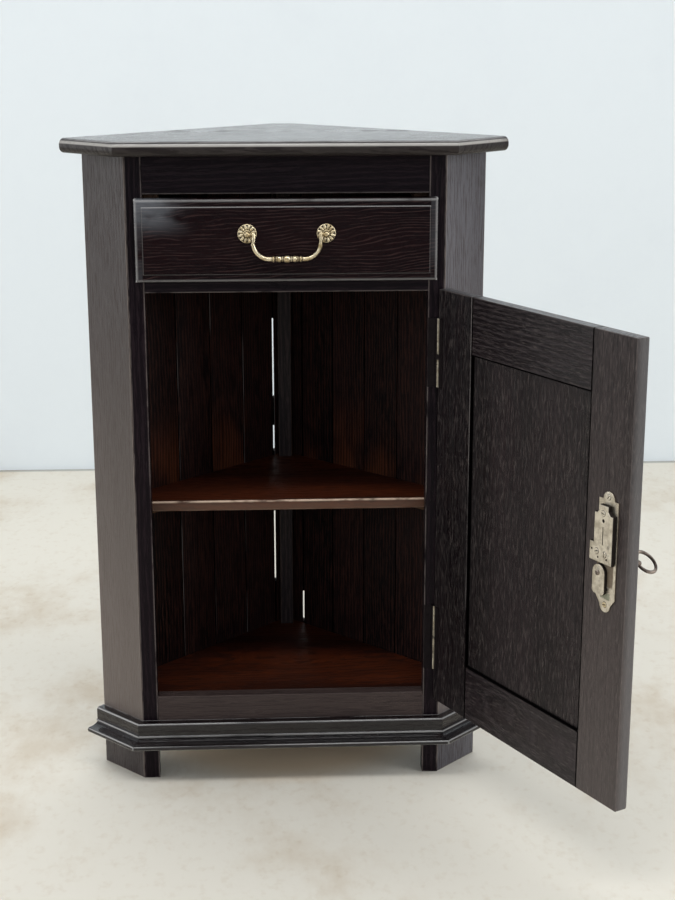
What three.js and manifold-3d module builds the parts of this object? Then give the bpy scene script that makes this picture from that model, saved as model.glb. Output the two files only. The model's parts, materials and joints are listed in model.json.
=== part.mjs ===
// Corner cupboard in dark-stained oak: one drawer over one frame-and-panel door.
// Millimetres, +Z up, the front faces -Y. The door stands open, as it is shown at rest.
import * as THREE from 'three';
import { mergeVertices } from 'three/addons/utils/BufferGeometryUtils.js';
import Module from 'manifold-3d';

// Overall body
const cupboardHeight = 840;
const frontHalfWidth = 196;
const cantRun = 56;

// Top board
const topThickness = 18;
const topFrontOverhang = 38;
const topCantOverhang = 34;
const topEdgeShare = 0.44;
const topBackCornerFlat = 28;
const topSawAllowance = 40;

// Canted sides, face frame and rear post
const sideThickness = 16;
const frameThickness = 18;
const stileWidth = 20.5;
const bottomRailShow = 33.5;
const middleRailHeight = 22.5;
const drawerOpeningHeight = 98.5;
const topRailHeight = 47.5;
const frameTenonLength = 9;
const frameTenonThickness = 6;
const frameTenonShoulder = 4;
const rearPostWidth = 18.5;
const rearPostDepth = 25.4;

// Tongued back boards
const backBoardThickness = 10;
const leftCornerBoardWidth = 23;
const rightCornerBoardWidth = 35;
const backRebateDepth = 8;
const boardTongueLength = 5;
const boardTongueThickness = 4;
const boardTonguePlay = 0.4;
const openJointWidth = 1.2;
const brokenEdgeWidth = 0.8;

// Base moulding
const footHeight = 52;
const mouldingHeight = 31;
const lipFlat = 8.5;
const lipProjection = 12.5;
const lipDrop = 4;
const fasciaDrop = 16.5;
const beadHeight = 4;
const beadProjection = 3.2;
const noseProjection = 29.6;
const noseHeight = 6.5;

// Shelf, bottom board and their cleats
const bottomBoardThickness = 12;
const bottomBoardDrop = 3.5;
const shelfRise = 257;
const shelfThickness = 14;
const shelfSetback = 32;
const shelfNoseRadius = 3;
const cleatHeight = 16;
const cleatDepth = 12;
const cleatEndSpace = 34;

// Lipped front shared by the drawer and the door
const lipOverlap = 9;
const lipThickness = 20;
const edgeRadius = 3.5;
const borderWidth = 10.5;
const borderStep = 1.5;
const borderSlope = 1.1;

// Drawer
const drawerFaceGap = 0.8;
const drawerBottomOverlap = 6.5;
const drawerTopGap = 4.2;
const drawerFrontInset = 8;
const drawerSideClearance = 1.5;
const drawerSideThickness = 10;
const drawerSideHeight = 88;
const drawerDepth = 112;
const drawerBackThickness = 10;
const drawerBackDrop = 8;
const drawerBottomThickness = 5;
const drawerBottomLift = 6;
const drawerGrooveDepth = 4.5;
const lapTailLength = 14;
const tailCount = 3;
const tailRootShare = 0.6;
const tailSlope = 1 / 6;

// Drawer runners and kickers
const runnerWidth = 30;
const runnerHeight = 20;
const guideHeight = 24;
const runnerSideSpace = 12;
const kickerHeight = 16;
const kickerClearance = 2;

// Bail handle
const handleCentres = 96;
const handleRise = 9;
const rosetteRadius = 12.4;
const rosetteThickness = 2.6;
const petalRelief = 1.6;
const petalCount = 12;
const bossRadius = 4.2;
const bossNeckRadius = 3;
const bailStandOff = 9.6;
const bailLegRadius = 2.5;
const bailLegInset = 7.2;
const bailDrop = 30;
const bailStraightDrop = 12;
const bailBarHalfLength = 22;
const bailPinRadius = 1.5;
const bailPinHoleRadius = 1.9;
const spindleRadius = 3;
const spindleRimRadius = 4;
const spindleBeadRadius = 4.1;
const spindleBallRadius = 4.6;
const spindleRimPlace = 16.5;
const spindleBeadPlace = 9.5;
const spindleRimHalfWidth = 1.2;
const spindleBeadHalfWidth = 2.4;
const spindleBallHalfWidth = 4;
const stemRadius = 2;
const stemTip = 1.5;
const nutRadius = 5;
const nutThickness = 3;

// Door
const doorOpenDegrees = 118;
const doorGap = 1;
const doorBottomOverlap = 8;
const doorTopOverlap = 3;
const doorMemberWidth = 72;
const doorTenonLength = 32;
const doorTenonThickness = 7;
const doorTenonShoulder = 12;
const panelRecess = 3.5;
const panelThickness = 12;
const panelTongueThickness = 6;
const panelTongueDepth = 7;
const panelPlay = 0.5;
const panelBevelWidth = 30;
const panelFieldStep = 1.4;

// Butt hinges
const hingeLength = 88;
const hingeTopSpace = 37;
const hingeBottomSpace = 42;
const hingeLeafWidth = 8.6;
const hingeLeafThickness = 1.2;
const leafProud = 0.3;
const leafKnuckleGap = 0.4;
const knuckleRadius = 3;
const knuckleGap = 0.3;
const knuckleEdgeSpace = 0.5;
const knuckleCount = 3;
const hingePinRadius = 1.3;
const hingePinPlay = 0.1;
const pinDepth = 2.1;
const leafScrewShares = [1 / 6, 1 / 2, 5 / 6];

// Countersunk screw holes
const screwHeadRadius = 2.8;
const screwHeadDepth = 1.1;
const screwNeckRadius = 1.5;

// Lock plate, case and tongue
const lockFromFreeEdge = 32;
const lockHeightOnDoor = 306;
const lockPlateWidth = 32;
const lockPlateHeight = 113;
const lockPlateThickness = 1.5;
const lockEarRadius = 9.7;
const lockEarScrewRise = 3.6;
const lockFootRadius = 9;
const lockFootDrop = 8.4;
const lockCaseWidth = 31;
const lockCaseDrop = 15.5;
const lockCaseHeight = 57;
const lockCaseThickness = 6.5;
const lockCaseBevel = 1;
const lockTabWidth = 15;
const lockTabHeight = 10;
const lockTabChamfer = 4;
const lockStepWidth = 6.5;
const lockStepHeight = 22;
const lockSlotWidth = 1.4;
const lockSlotHeight = 21;
const lockSlotRise = 5.5;
const lockRecessDepth = 1.2;
const lockEyeRadius = 2.2;
const lockEyeRise = 33.7;
const lockRivetWidth = 2.4;
const lockScrewShares = [[0.284, 0.22], [-0.128, 0.2]];
const lockRivetShares = [[0.553, 0.23], [0.216, 0.1], [-0.234, 0.11]];
const tongueWidth = 20;
const tongueOffset = 1;
const tongueDrop = 25;
const tongueThickness = 4.6;
const tongueCorner = 3;
const tongueSegments = 8;

// Key, which turns the tongue from outside
const keyAxisAcross = 8;
const keyAxisDrop = 28.5;
const keyholeRadius = 3.4;
const keySpindleHalf = 1.6;
const keySpindlePlay = 0.3;
const keyTipRadius = 3;
const keyTipLength = 1.4;
const keyCollarRadius = 3.9;
const keyCollarWidth = 3;
const keyShankRadius = 2.6;
const keyReach = 31;
const keyBowHalfLength = 11.5;
const keyBowHalfWidth = 15.2;
const keyBowWireRadius = 1.8;
const keyBowTiltDegrees = -33;

// Fits, overruns and the number of flats on round work
const seatGap = 0.3;
const cutOverrun = 5;
const curveFlats = 6;
const barrelFlats = 16;
const screwFlats = 8;
const roundFlats = 12;
const bailSteps = 40;

// Shares: joints between the back boards, and where a board's edge has broken away
const backJointShares = [0.195, 0.39, 0.585, 0.78];
const leftBreakShares = [[0.162, 0.303], [0.421, 0.47], [0.523, 0.673]];
const rightBreakShares = [[0.083, 0.144]];
const arrisShares = [0, 1 / 3, 2 / 3, 1];

// Sizes that follow from the ones above
const bodyHalfWidth = frontHalfWidth + cantRun;
const apexDepth = bodyHalfWidth + cantRun;
const cantLength = cantRun * Math.SQRT2;
const wallLength = (frontHalfWidth + apexDepth) / Math.SQRT2;
const wallInnerLength = wallLength - backBoardThickness;
const innerApexDepth = apexDepth - backBoardThickness * Math.SQRT2;
const mitre = Math.tan(Math.PI / 8);
const bodyTop = cupboardHeight - topThickness;
const mouldingTop = footHeight + mouldingHeight;
const doorOpeningLow = mouldingTop + bottomRailShow;
const drawerOpeningHigh = bodyTop - topRailHeight;
const drawerOpeningLow = drawerOpeningHigh - drawerOpeningHeight;
const doorOpeningHigh = drawerOpeningLow - middleRailHeight;
const openingHalfWidth = frontHalfWidth - stileWidth;
const lippedWidth = 2 * (openingHalfWidth + lipOverlap);
const bottomBoardTop = doorOpeningLow - bottomBoardDrop;
const shelfTop = bottomBoardTop + shelfRise;

const drawerHalfWidth = openingHalfWidth - drawerSideClearance;
const drawerLow = drawerOpeningLow + seatGap;
const drawerSideHigh = drawerLow + drawerSideHeight;
const drawerFrontLow = drawerOpeningLow - drawerBottomOverlap;
const drawerFrontHigh = drawerOpeningHigh - drawerTopGap;
const drawerFaceDepth = drawerFaceGap + lipThickness;
const runnerOuter = openingHalfWidth + runnerSideSpace;
const runnerInner = runnerOuter - runnerWidth;
const handleHeight = (drawerFrontLow + drawerFrontHigh) / 2 + handleRise;

// The door is drawn shut, with its hinge pin as origin
const doorLow = doorOpeningLow - doorBottomOverlap;
const doorHigh = doorOpeningHigh + doorTopOverlap;
const pinAcross = openingHalfWidth + lipOverlap + knuckleEdgeSpace + knuckleRadius;
const doorInnerFace = pinDepth - doorGap;
const doorOuterFace = doorInnerFace - lipThickness;
const doorHingeEdge = -knuckleRadius - knuckleEdgeSpace;
const doorFreeEdge = doorHingeEdge - lippedWidth;
const panelLow = doorLow + doorMemberWidth;
const panelHigh = doorHigh - doorMemberWidth;
const panelHingeSide = doorHingeEdge - doorMemberWidth;
const panelFreeSide = doorFreeEdge + doorMemberWidth;
const hingeLows = [doorLow + hingeBottomSpace, doorHigh - hingeTopSpace - hingeLength];
const leafNear = -knuckleRadius - leafKnuckleGap;
const leafFar = leafNear - hingeLeafWidth;
const leafScrewAcross = (leafNear + leafFar) / 2;
const frameLeafFace = pinDepth - leafProud;
const doorLeafFace = doorInnerFace + leafProud;
const lockAcross = doorFreeEdge + lockFromFreeEdge;
const lockHeight = doorLow + lockHeightOnDoor;
const lockPlateFace = doorInnerFace + seatGap + lockPlateThickness;
const lockCaseLow = lockHeight - lockCaseDrop;
const lockCaseFace = lockPlateFace + seatGap + lockCaseThickness;
const keyAcross = lockAcross + keyAxisAcross;
const keyHeight = lockHeight - keyAxisDrop;
const tongueBack = lockPlateFace + seatGap;
const tongueFace = tongueBack + tongueThickness;

const oak = { color: 0x1d1310, roughness: 0.42, metalness: 0 };
const innerOak = { color: 0x3a2015, roughness: 0.55, metalness: 0 };
const rawOak = { color: 0x5a3d28, roughness: 0.7, metalness: 0 };
const brass = { color: 0xa08a5e, roughness: 0.38, metalness: 1 };
const nickel = { color: 0xb4afa4, roughness: 0.35, metalness: 1 };
const iron = { color: 0x4a4744, roughness: 0.45, metalness: 1 };
const steel = { color: 0x9a9690, roughness: 0.4, metalness: 1 };

const AXIS_X = new THREE.Vector3(1, 0, 0);
const AXIS_Y = new THREE.Vector3(0, 1, 0);
const AXIS_Z = new THREE.Vector3(0, 0, 1);
const BASIS_ALONG_X = new THREE.Matrix4().makeBasis(AXIS_Y, AXIS_Z, AXIS_X);
const BASIS_ALONG_Y = new THREE.Matrix4().makeBasis(AXIS_X, AXIS_Z, AXIS_Y.clone().negate());

const wasm = await Module();
wasm.setup();

// Solid modelling helpers

function toSolid(geometry) {
  const bare = geometry.clone();
  bare.deleteAttribute('normal');
  bare.deleteAttribute('uv');
  const merged = mergeVertices(bare);
  const corners = Array.from(merged.index.array);
  const faces = [];
  for (let start = 0; start < corners.length; start += 3) {
    const face = corners.slice(start, start + 3);
    if (new Set(face).size === 3) faces.push(...face);
  }
  return new wasm.Manifold(new wasm.Mesh({
    numProp: 3,
    vertProperties: new Float32Array(merged.attributes.position.array),
    triVerts: new Uint32Array(faces),
  }));
}

function toGeometry(solid) {
  const mesh = solid.getMesh();
  const geometry = new THREE.BufferGeometry();
  geometry.setAttribute('position', new THREE.BufferAttribute(mesh.vertProperties, mesh.numProp));
  geometry.setIndex(new THREE.BufferAttribute(mesh.triVerts, 1));
  geometry.computeVertexNormals();
  return geometry;
}

function cut(base, tools) {
  return toGeometry(tools.reduce((solid, tool) => solid.subtract(toSolid(tool)), toSolid(base)));
}

function join(pieces) {
  const [first, ...others] = pieces.map(toSolid);
  return toGeometry(others.reduce((solid, piece) => solid.add(piece), first));
}

function common(first, second) {
  return toGeometry(toSolid(first).intersect(toSolid(second)));
}

// A prism whose outline lies square to the axis: (x, y) along z, (y, z) along x, (x, z) along y.
function prism(outline, from, to, axis = 'z') {
  const isShape = outline instanceof THREE.Shape;
  const shape = isShape ? outline : new THREE.Shape(outline.map(([u, v]) => new THREE.Vector2(u, v)));
  const geometry = new THREE.ExtrudeGeometry(shape, {
    depth: to - from, bevelEnabled: false, curveSegments: curveFlats,
  });
  geometry.translate(0, 0, axis === 'y' ? -to : from);
  if (axis === 'x') geometry.applyMatrix4(BASIS_ALONG_X);
  if (axis === 'y') geometry.applyMatrix4(BASIS_ALONG_Y);
  return geometry;
}

function box(x0, x1, y0, y1, z0, z1) {
  const geometry = new THREE.BoxGeometry(x1 - x0, y1 - y0, z1 - z0);
  return geometry.translate((x0 + x1) / 2, (y0 + y1) / 2, (z0 + z1) / 2);
}

// A round piece turned on an axis along y; the profile is (radius, distance towards the front).
function turned(profile, flats = roundFlats) {
  const geometry = new THREE.LatheGeometry(profile.map(([r, h]) => new THREE.Vector2(r, h)), flats);
  return geometry.rotateX(Math.PI);
}

function rod(radius, from, to, flats = roundFlats) {
  return turned([[0, -to], [radius, -to], [radius, -from], [0, -from]], flats);
}

function uprightRod(radius, from, to, flats = barrelFlats) {
  const geometry = new THREE.CylinderGeometry(radius, radius, to - from, flats);
  return geometry.rotateX(Math.PI / 2).translate(0, 0, (from + to) / 2);
}

function mirrored(outline, sign) {
  return outline.map(([u, v]) => [sign * u, v]);
}

function rectangle(u0, u1, v0, v1) {
  return [[u0, v0], [u1, v0], [u1, v1], [u0, v1]];
}

// A slab with its back at y = 0 whose front steps through rings of (inset, height).
function ringedSlab(width, height, rings) {
  const corners = [[-1, -1], [1, -1], [1, 1], [-1, 1]];
  const positions = rings.flatMap(([inset, rise]) => corners.flatMap(([u, v]) => [
    u * (width / 2 - inset), -rise, v * (height / 2 - inset),
  ]));
  const faces = [0, 2, 1, 0, 3, 2];
  for (let ring = 1; ring < rings.length; ring += 1) {
    for (let side = 0; side < 4; side += 1) {
      const low = (ring - 1) * 4 + side;
      const next = (ring - 1) * 4 + (side + 1) % 4;
      faces.push(low, next, low + 4, next, next + 4, low + 4);
    }
  }
  const last = (rings.length - 1) * 4;
  faces.push(last, last + 1, last + 2, last, last + 2, last + 3);
  const geometry = new THREE.BufferGeometry();
  geometry.setAttribute('position', new THREE.BufferAttribute(new Float32Array(positions), 3));
  geometry.setIndex(faces);
  geometry.computeVertexNormals();
  return geometry;
}

// The rounded arris, flat border and stepped field of the drawer front and the door.
function lippedSlab(width, low, high) {
  const borderHeight = lipThickness - borderStep;
  const arris = arrisShares.map((share) => [
    edgeRadius * (1 - Math.cos(share * Math.PI / 2)),
    borderHeight - edgeRadius * (1 - Math.sin(share * Math.PI / 2)),
  ]);
  const slab = ringedSlab(width, high - low, [
    [0, 0],
    ...arris,
    [borderWidth - borderSlope, borderHeight],
    [borderWidth, lipThickness],
  ]);
  return slab.translate(0, 0, (low + high) / 2);
}

function finish(geometry, name, look) {
  const mesh = new THREE.Mesh(toGeometry(toSolid(geometry)), new THREE.MeshStandardMaterial(look));
  mesh.name = name;
  return mesh;
}

// The countersunk hole for a screw whose head faces the front at y = 0.
function screwHole(depth) {
  const end = -depth - cutOverrun;
  return turned([
    [0, end], [screwNeckRadius, end], [screwNeckRadius, -screwHeadDepth],
    [screwHeadRadius, 0], [screwHeadRadius, cutOverrun], [0, cutOverrun],
  ], screwFlats);
}

// The carcass

// Each canted side has a frame of its own: u runs back along the cant, v runs inwards.
function cantGroup(sign) {
  const group = new THREE.Group();
  group.position.set(sign * frontHalfWidth, 0, 0);
  group.rotation.z = sign * Math.PI / 4;
  return group;
}

function topBoard() {
  const radius = topEdgeShare * topThickness;
  const cantLine = frontHalfWidth + topCantOverhang * Math.SQRT2;
  const frontHalf = cantLine - topFrontOverhang;
  const sawnLine = apexDepth + topSawAllowance;
  const outerHalf = (cantLine + sawnLine) / 2;
  const outerDepth = sawnLine - outerHalf;
  const blank = new THREE.Shape([
    [-frontHalf, -topFrontOverhang], [frontHalf, -topFrontOverhang], [outerHalf, outerDepth],
    [0, sawnLine], [-outerHalf, outerDepth],
  ].map(([x, y]) => new THREE.Vector2(x, y)));
  const rounded = new THREE.ExtrudeGeometry(blank, {
    depth: topThickness - 2 * radius,
    bevelThickness: radius,
    bevelSize: radius,
    bevelOffset: -radius,
    bevelSegments: curveFlats,
  });
  rounded.translate(0, 0, bodyTop + radius);
  const flatHalf = topBackCornerFlat / 2;
  const side = apexDepth - sawnLine;
  const sawn = prism([
    [-sawnLine, -sawnLine], [sawnLine, -sawnLine], [sawnLine, side],
    [flatHalf, apexDepth - flatHalf], [-flatHalf, apexDepth - flatHalf], [-sawnLine, side],
  ], bodyTop - cutOverrun, cupboardHeight + cutOverrun);
  return finish(common(rounded, sawn), 'top_board', oak);
}

function sideBoard(sign, name) {
  const backEdge = cantLength - backBoardThickness - seatGap;
  const outline = [
    [seatGap, 0], [cantLength, 0], [cantLength, sideThickness - backRebateDepth],
    [backEdge, sideThickness - backRebateDepth], [backEdge, sideThickness],
    [mitre * sideThickness + seatGap, sideThickness],
  ];
  return finish(prism(mirrored(outline, sign), 0, bodyTop - seatGap), name, oak);
}

// Heights of the three rails, as [low, high].
const railSpans = {
  top_rail: [drawerOpeningHigh, bodyTop - seatGap],
  middle_rail: [doorOpeningHigh, drawerOpeningLow],
  bottom_rail: [footHeight, doorOpeningLow],
};

function railTenon(low, high, reach, play) {
  const middle = frameThickness / 2;
  const half = frameTenonThickness / 2 + play;
  const inset = frameTenonShoulder - play;
  return box(-reach, reach, middle - half, middle + half, low + inset, high - inset);
}

function rail(name) {
  const [low, high] = railSpans[name];
  const half = openingHalfWidth - seatGap;
  const body = box(-half, half, 0, frameThickness, low, high);
  return finish(join([body, railTenon(low, high, openingHalfWidth + frameTenonLength, 0)]), name, oak);
}

function hingeRecess(low) {
  const inner = openingHalfWidth - seatGap;
  const outer = pinAcross + knuckleRadius + seatGap;
  const depth = hingeLeafThickness - leafProud + seatGap;
  return box(inner, outer, -cutOverrun, depth, low - seatGap, low + hingeLength + seatGap);
}

function stile(sign, name) {
  const outline = [
    [openingHalfWidth, 0], [frontHalfWidth, 0],
    [frontHalfWidth - mitre * frameThickness, frameThickness], [openingHalfWidth, frameThickness],
  ];
  const reach = openingHalfWidth + frameTenonLength + seatGap;
  const cuts = Object.values(railSpans).map(([low, high]) => railTenon(low, high, reach, seatGap));
  if (sign > 0) cuts.push(...hingeLows.map(hingeRecess));
  return finish(cut(prism(mirrored(outline, sign), 0, bodyTop - seatGap), cuts), name, oak);
}

function rearPost() {
  const half = rearPostWidth / 2;
  const apex = innerApexDepth - seatGap * Math.SQRT2;
  const front = apex - rearPostDepth;
  const outline = [[-half, front], [half, front], [half, apex - half], [0, apex], [-half, apex - half]];
  return finish(prism(outline, 0, bodyTop - seatGap), 'rear_post', innerOak);
}

// Where the joints between the back boards lie, as distances from the inner corner along the wall.
function boardJoints(cornerBoardWidth) {
  const run = wallInnerLength - sideThickness + backRebateDepth - seatGap;
  const rest = run - cornerBoardWidth;
  return [0, cornerBoardWidth, ...backJointShares.map((share) => cornerBoardWidth + share * rest), run];
}

// The edge of a back board nearer the corner: a tongue, or a mitre planed flat behind.
function nearEdge(v, isCorner) {
  const outer = cantLength;
  const inner = outer - backBoardThickness;
  if (isCorner) {
    const flat = (apexDepth - topBackCornerFlat / 2) * Math.SQRT2;
    const mitred = inner - v + seatGap;
    return [[inner, v - seatGap], [(flat + mitred) / 2, (flat - mitred) / 2], [outer, flat - outer]];
  }
  const middle = (outer + inner) / 2;
  const half = boardTongueThickness / 2;
  const tip = v + boardTongueLength;
  return [[inner, v], [middle - half, v], [middle - half, tip], [middle + half, tip], [middle + half, v], [outer, v]];
}

// The edge that meets the next board towards the canted side: square or grooved.
function farEdge(v, isLast) {
  const outer = cantLength;
  const inner = outer - backBoardThickness;
  if (isLast) return [[outer, v], [inner, v]];
  const middle = (outer + inner) / 2;
  const half = boardTongueThickness / 2 + boardTonguePlay;
  const root = v + boardTongueLength + boardTonguePlay;
  return [[outer, v], [middle + half, v], [middle + half, root], [middle - half, root], [middle - half, v], [inner, v]];
}

// What has broken away at the first joint: the tongue of one board, the edge of the other.
function brokenTongue(v) {
  const outer = cantLength + cutOverrun;
  const inner = cantLength - backBoardThickness - cutOverrun;
  return rectangle(inner, outer, v, v + boardTongueLength + cutOverrun);
}

function brokenEdge(v) {
  const outer = cantLength + cutOverrun;
  const inner = cantLength - backBoardThickness - cutOverrun;
  const width = brokenEdgeWidth * Math.SQRT2;
  const slant = backBoardThickness + cutOverrun;
  return [[inner, v - cutOverrun], [outer, v - cutOverrun], [outer, v + slant + width], [inner, v + width - cutOverrun]];
}

function backWall(sign, side, cornerBoardWidth, breakShares) {
  const joints = boardJoints(cornerBoardWidth);
  const low = footHeight;
  const high = bodyTop - seatGap;
  return joints.slice(1).map((far, index) => {
    const gaps = [0, openJointWidth];
    const nearV = wallInnerLength - joints[index] - (gaps[index] ?? seatGap);
    const farV = wallInnerLength - far;
    const outline = [...nearEdge(nearV, index === 0), ...farEdge(farV, index === joints.length - 2)];
    const broken = [brokenEdge(farV), brokenTongue(nearV)][index];
    const breaks = broken === undefined ? [] : breakShares.map(([from, to]) => (
      prism(mirrored(broken, sign), low + from * (high - low), low + to * (high - low))
    ));
    return finish(cut(prism(mirrored(outline, sign), low, high), breaks), `${side}_back_board_${index + 1}`, innerOak);
  });
}

// The base moulding's section: lip, fascia, bead, cove and nose, as (distance out, height).
function mouldingShape() {
  const fasciaLow = mouldingTop - fasciaDrop;
  const beadLow = fasciaLow - beadHeight;
  const noseTop = footHeight + noseHeight;
  const noseMiddle = footHeight + noseHeight / 2;
  const noseBack = -noseProjection + noseHeight / 2;
  const shape = new THREE.Shape();
  shape.moveTo(-seatGap, mouldingTop);
  shape.lineTo(-seatGap, footHeight);
  shape.lineTo(noseBack, footHeight);
  shape.quadraticCurveTo(-noseProjection, footHeight, -noseProjection, noseMiddle);
  shape.quadraticCurveTo(-noseProjection, noseTop, noseBack, noseTop);
  shape.quadraticCurveTo(-lipProjection - beadHeight, noseTop, -lipProjection, beadLow);
  shape.quadraticCurveTo(-lipProjection - beadProjection, beadLow + beadHeight / 2, -lipProjection, fasciaLow);
  shape.lineTo(-lipProjection, mouldingTop - lipDrop);
  shape.quadraticCurveTo(-lipProjection, mouldingTop, -lipFlat, mouldingTop);
  shape.closePath();
  return shape;
}

function frontMoulding() {
  const reach = noseProjection + cutOverrun;
  const spread = frontHalfWidth + mitre * reach;
  const length = prism(mouldingShape(), -spread, spread, 'x');
  const near = frontHalfWidth - seatGap;
  const far = spread - seatGap;
  const mitred = prism(
    [[-near, 0], [-far, -reach], [far, -reach], [near, 0]],
    footHeight - cutOverrun, mouldingTop + cutOverrun,
  );
  return finish(common(length, mitred), 'front_moulding', oak);
}

function cantMoulding(sign, name) {
  const reach = noseProjection + cutOverrun;
  const start = mitre * reach;
  const [from, to] = sign > 0 ? [-start, cantLength] : [-cantLength, start];
  const length = prism(mouldingShape(), from, to, 'x');
  const mitred = prism(
    mirrored([[0, 0], [-start, -reach], [cantLength, -reach], [cantLength, 0]], sign),
    footHeight - cutOverrun, mouldingTop + cutOverrun,
  );
  return finish(common(length, mitred), name, oak);
}

// The plan of the room inside the walls, from a front line back to the corner.
function interiorPlan(front) {
  const cantLine = frontHalfWidth - (sideThickness + seatGap) * Math.SQRT2;
  const wallLine = innerApexDepth - seatGap * Math.SQRT2;
  const outerX = (cantLine + wallLine) / 2;
  const outerY = wallLine - outerX;
  const frontX = cantLine + front;
  return [[-frontX, front], [frontX, front], [outerX, outerY], [0, wallLine], [-outerX, outerY]];
}

function postNotch(low, high) {
  const half = rearPostWidth / 2 + seatGap;
  const front = innerApexDepth - seatGap * Math.SQRT2 - rearPostDepth - seatGap;
  return box(-half, half, front, apexDepth, low - cutOverrun, high + cutOverrun);
}

function bottomBoard() {
  const low = bottomBoardTop - bottomBoardThickness;
  const body = prism(interiorPlan(frameThickness + seatGap), low, bottomBoardTop);
  return finish(cut(body, [postNotch(low, bottomBoardTop)]), 'bottom_board', innerOak);
}

function shelf() {
  const low = shelfTop - shelfThickness;
  const front = frameThickness + shelfSetback;
  const nose = new THREE.Shape();
  nose.moveTo(apexDepth, low);
  nose.lineTo(front + shelfNoseRadius, low);
  nose.quadraticCurveTo(front, low, front, low + shelfNoseRadius);
  nose.lineTo(front, shelfTop - shelfNoseRadius);
  nose.quadraticCurveTo(front, shelfTop, front + shelfNoseRadius, shelfTop);
  nose.lineTo(apexDepth, shelfTop);
  nose.closePath();
  const plan = prism(interiorPlan(front), low - cutOverrun, shelfTop + cutOverrun);
  const board = common(prism(nose, -bodyHalfWidth, bodyHalfWidth, 'x'), plan);
  return finish(cut(board, [postNotch(low, shelfTop)]), 'shelf', innerOak);
}

// A strip fixed to the back boards under a shelf.
function cleat(sign, name, boardLow) {
  const outer = cantLength - backBoardThickness - seatGap;
  const high = boardLow - seatGap;
  const outline = rectangle(outer - cleatDepth, outer, sideThickness + cleatEndSpace, wallInnerLength - cleatEndSpace);
  return finish(prism(mirrored(outline, sign), high - cleatHeight, high), name, rawOak);
}

// What the drawer runs on

function fitToWall(section, low, high) {
  const front = frameThickness + seatGap;
  const plan = prism(interiorPlan(front), low - cutOverrun, high + cutOverrun);
  return common(prism(section, front, apexDepth, 'y'), plan);
}

function drawerRunner(sign, name) {
  const low = drawerOpeningLow - runnerHeight;
  const high = drawerOpeningLow + guideHeight;
  const guideInner = drawerHalfWidth + 2 * seatGap;
  const section = [
    [runnerInner, low], [runnerOuter, low], [runnerOuter, high],
    [guideInner, high], [guideInner, drawerOpeningLow], [runnerInner, drawerOpeningLow],
  ];
  return finish(fitToWall(mirrored(section, sign), low, high), name, rawOak);
}

function drawerKicker(sign, name) {
  const low = drawerSideHigh + kickerClearance;
  const high = low + kickerHeight;
  return finish(fitToWall(mirrored(rectangle(runnerInner, runnerOuter, low, high), sign), low, high), name, rawOak);
}

function carcass() {
  const group = new THREE.Group();
  group.add(topBoard(), ...Object.keys(railSpans).map(rail), rearPost(), frontMoulding(), bottomBoard(), shelf());
  const sides = [
    { sign: -1, side: 'left', corner: leftCornerBoardWidth, breakShares: leftBreakShares },
    { sign: 1, side: 'right', corner: rightCornerBoardWidth, breakShares: rightBreakShares },
  ];
  sides.forEach(({ sign, side, corner, breakShares }) => {
    const cant = cantGroup(sign);
    cant.add(sideBoard(sign, `${side}_side`), cantMoulding(sign, `${side}_moulding`));
    cant.add(...backWall(sign, side, corner, breakShares));
    cant.add(cleat(sign, `${side}_shelf_cleat`, shelfTop - shelfThickness));
    cant.add(cleat(sign, `${side}_bottom_cleat`, bottomBoardTop - bottomBoardThickness));
    group.add(cant, stile(sign, `${side}_stile`));
    group.add(drawerRunner(sign, `${side}_drawer_runner`), drawerKicker(sign, `${side}_drawer_kicker`));
  });
  return group;
}

// The drawer, dovetailed at both ends

// The tails at one end of a drawer side as outlines in (y, z); a negative reach points forwards.
function tailOutlines(root, reach, play) {
  const pitch = drawerSideHeight / tailCount;
  const rootHalf = pitch * tailRootShare / 2 + play;
  const tipHalf = rootHalf + Math.abs(reach) * tailSlope;
  return Array.from({ length: tailCount }, (unused, index) => {
    const middle = drawerLow + (index + 1 / 2) * pitch;
    return [
      [root, middle - rootHalf], [root + reach, middle - tipHalf],
      [root + reach, middle + tipHalf], [root, middle + rootHalf],
    ];
  });
}

function tailSockets(root, reach, overrun) {
  const inner = drawerHalfWidth - drawerSideThickness - seatGap;
  const outer = drawerHalfWidth + overrun;
  return tailOutlines(root, reach, seatGap).flatMap((outline) => [
    prism(outline, inner, outer, 'x'), prism(outline, -outer, -inner, 'x'),
  ]);
}

function drawerGroove(front, back) {
  const half = drawerHalfWidth - drawerSideThickness + drawerGrooveDepth;
  const low = drawerLow + drawerBottomLift - seatGap;
  return box(-half, half, front, back, low, low + drawerBottomThickness + 2 * seatGap);
}

function drawerFront() {
  const lip = lippedSlab(lippedWidth, drawerFrontLow, drawerFrontHigh).translate(0, -drawerFaceGap, 0);
  const insetHigh = drawerFrontHigh - edgeRadius;
  const inset = box(-drawerHalfWidth, drawerHalfWidth, -drawerFaceDepth / 2, drawerFrontInset, drawerLow, insetHigh);
  const groove = drawerGroove(drawerFrontInset - drawerGrooveDepth, drawerFrontInset + cutOverrun);
  const sockets = tailSockets(drawerFrontInset + 2 * seatGap, -lapTailLength - 2 * seatGap, seatGap);
  const stemHoles = [-1, 1].map((sign) => (
    rod(stemRadius + seatGap, -2 * drawerFaceDepth, 2 * drawerFrontInset)
      .translate(sign * handleCentres / 2, 0, handleHeight)
  ));
  return finish(cut(join([lip, inset]), [groove, ...sockets, ...stemHoles]), 'drawer_front', oak);
}

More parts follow.
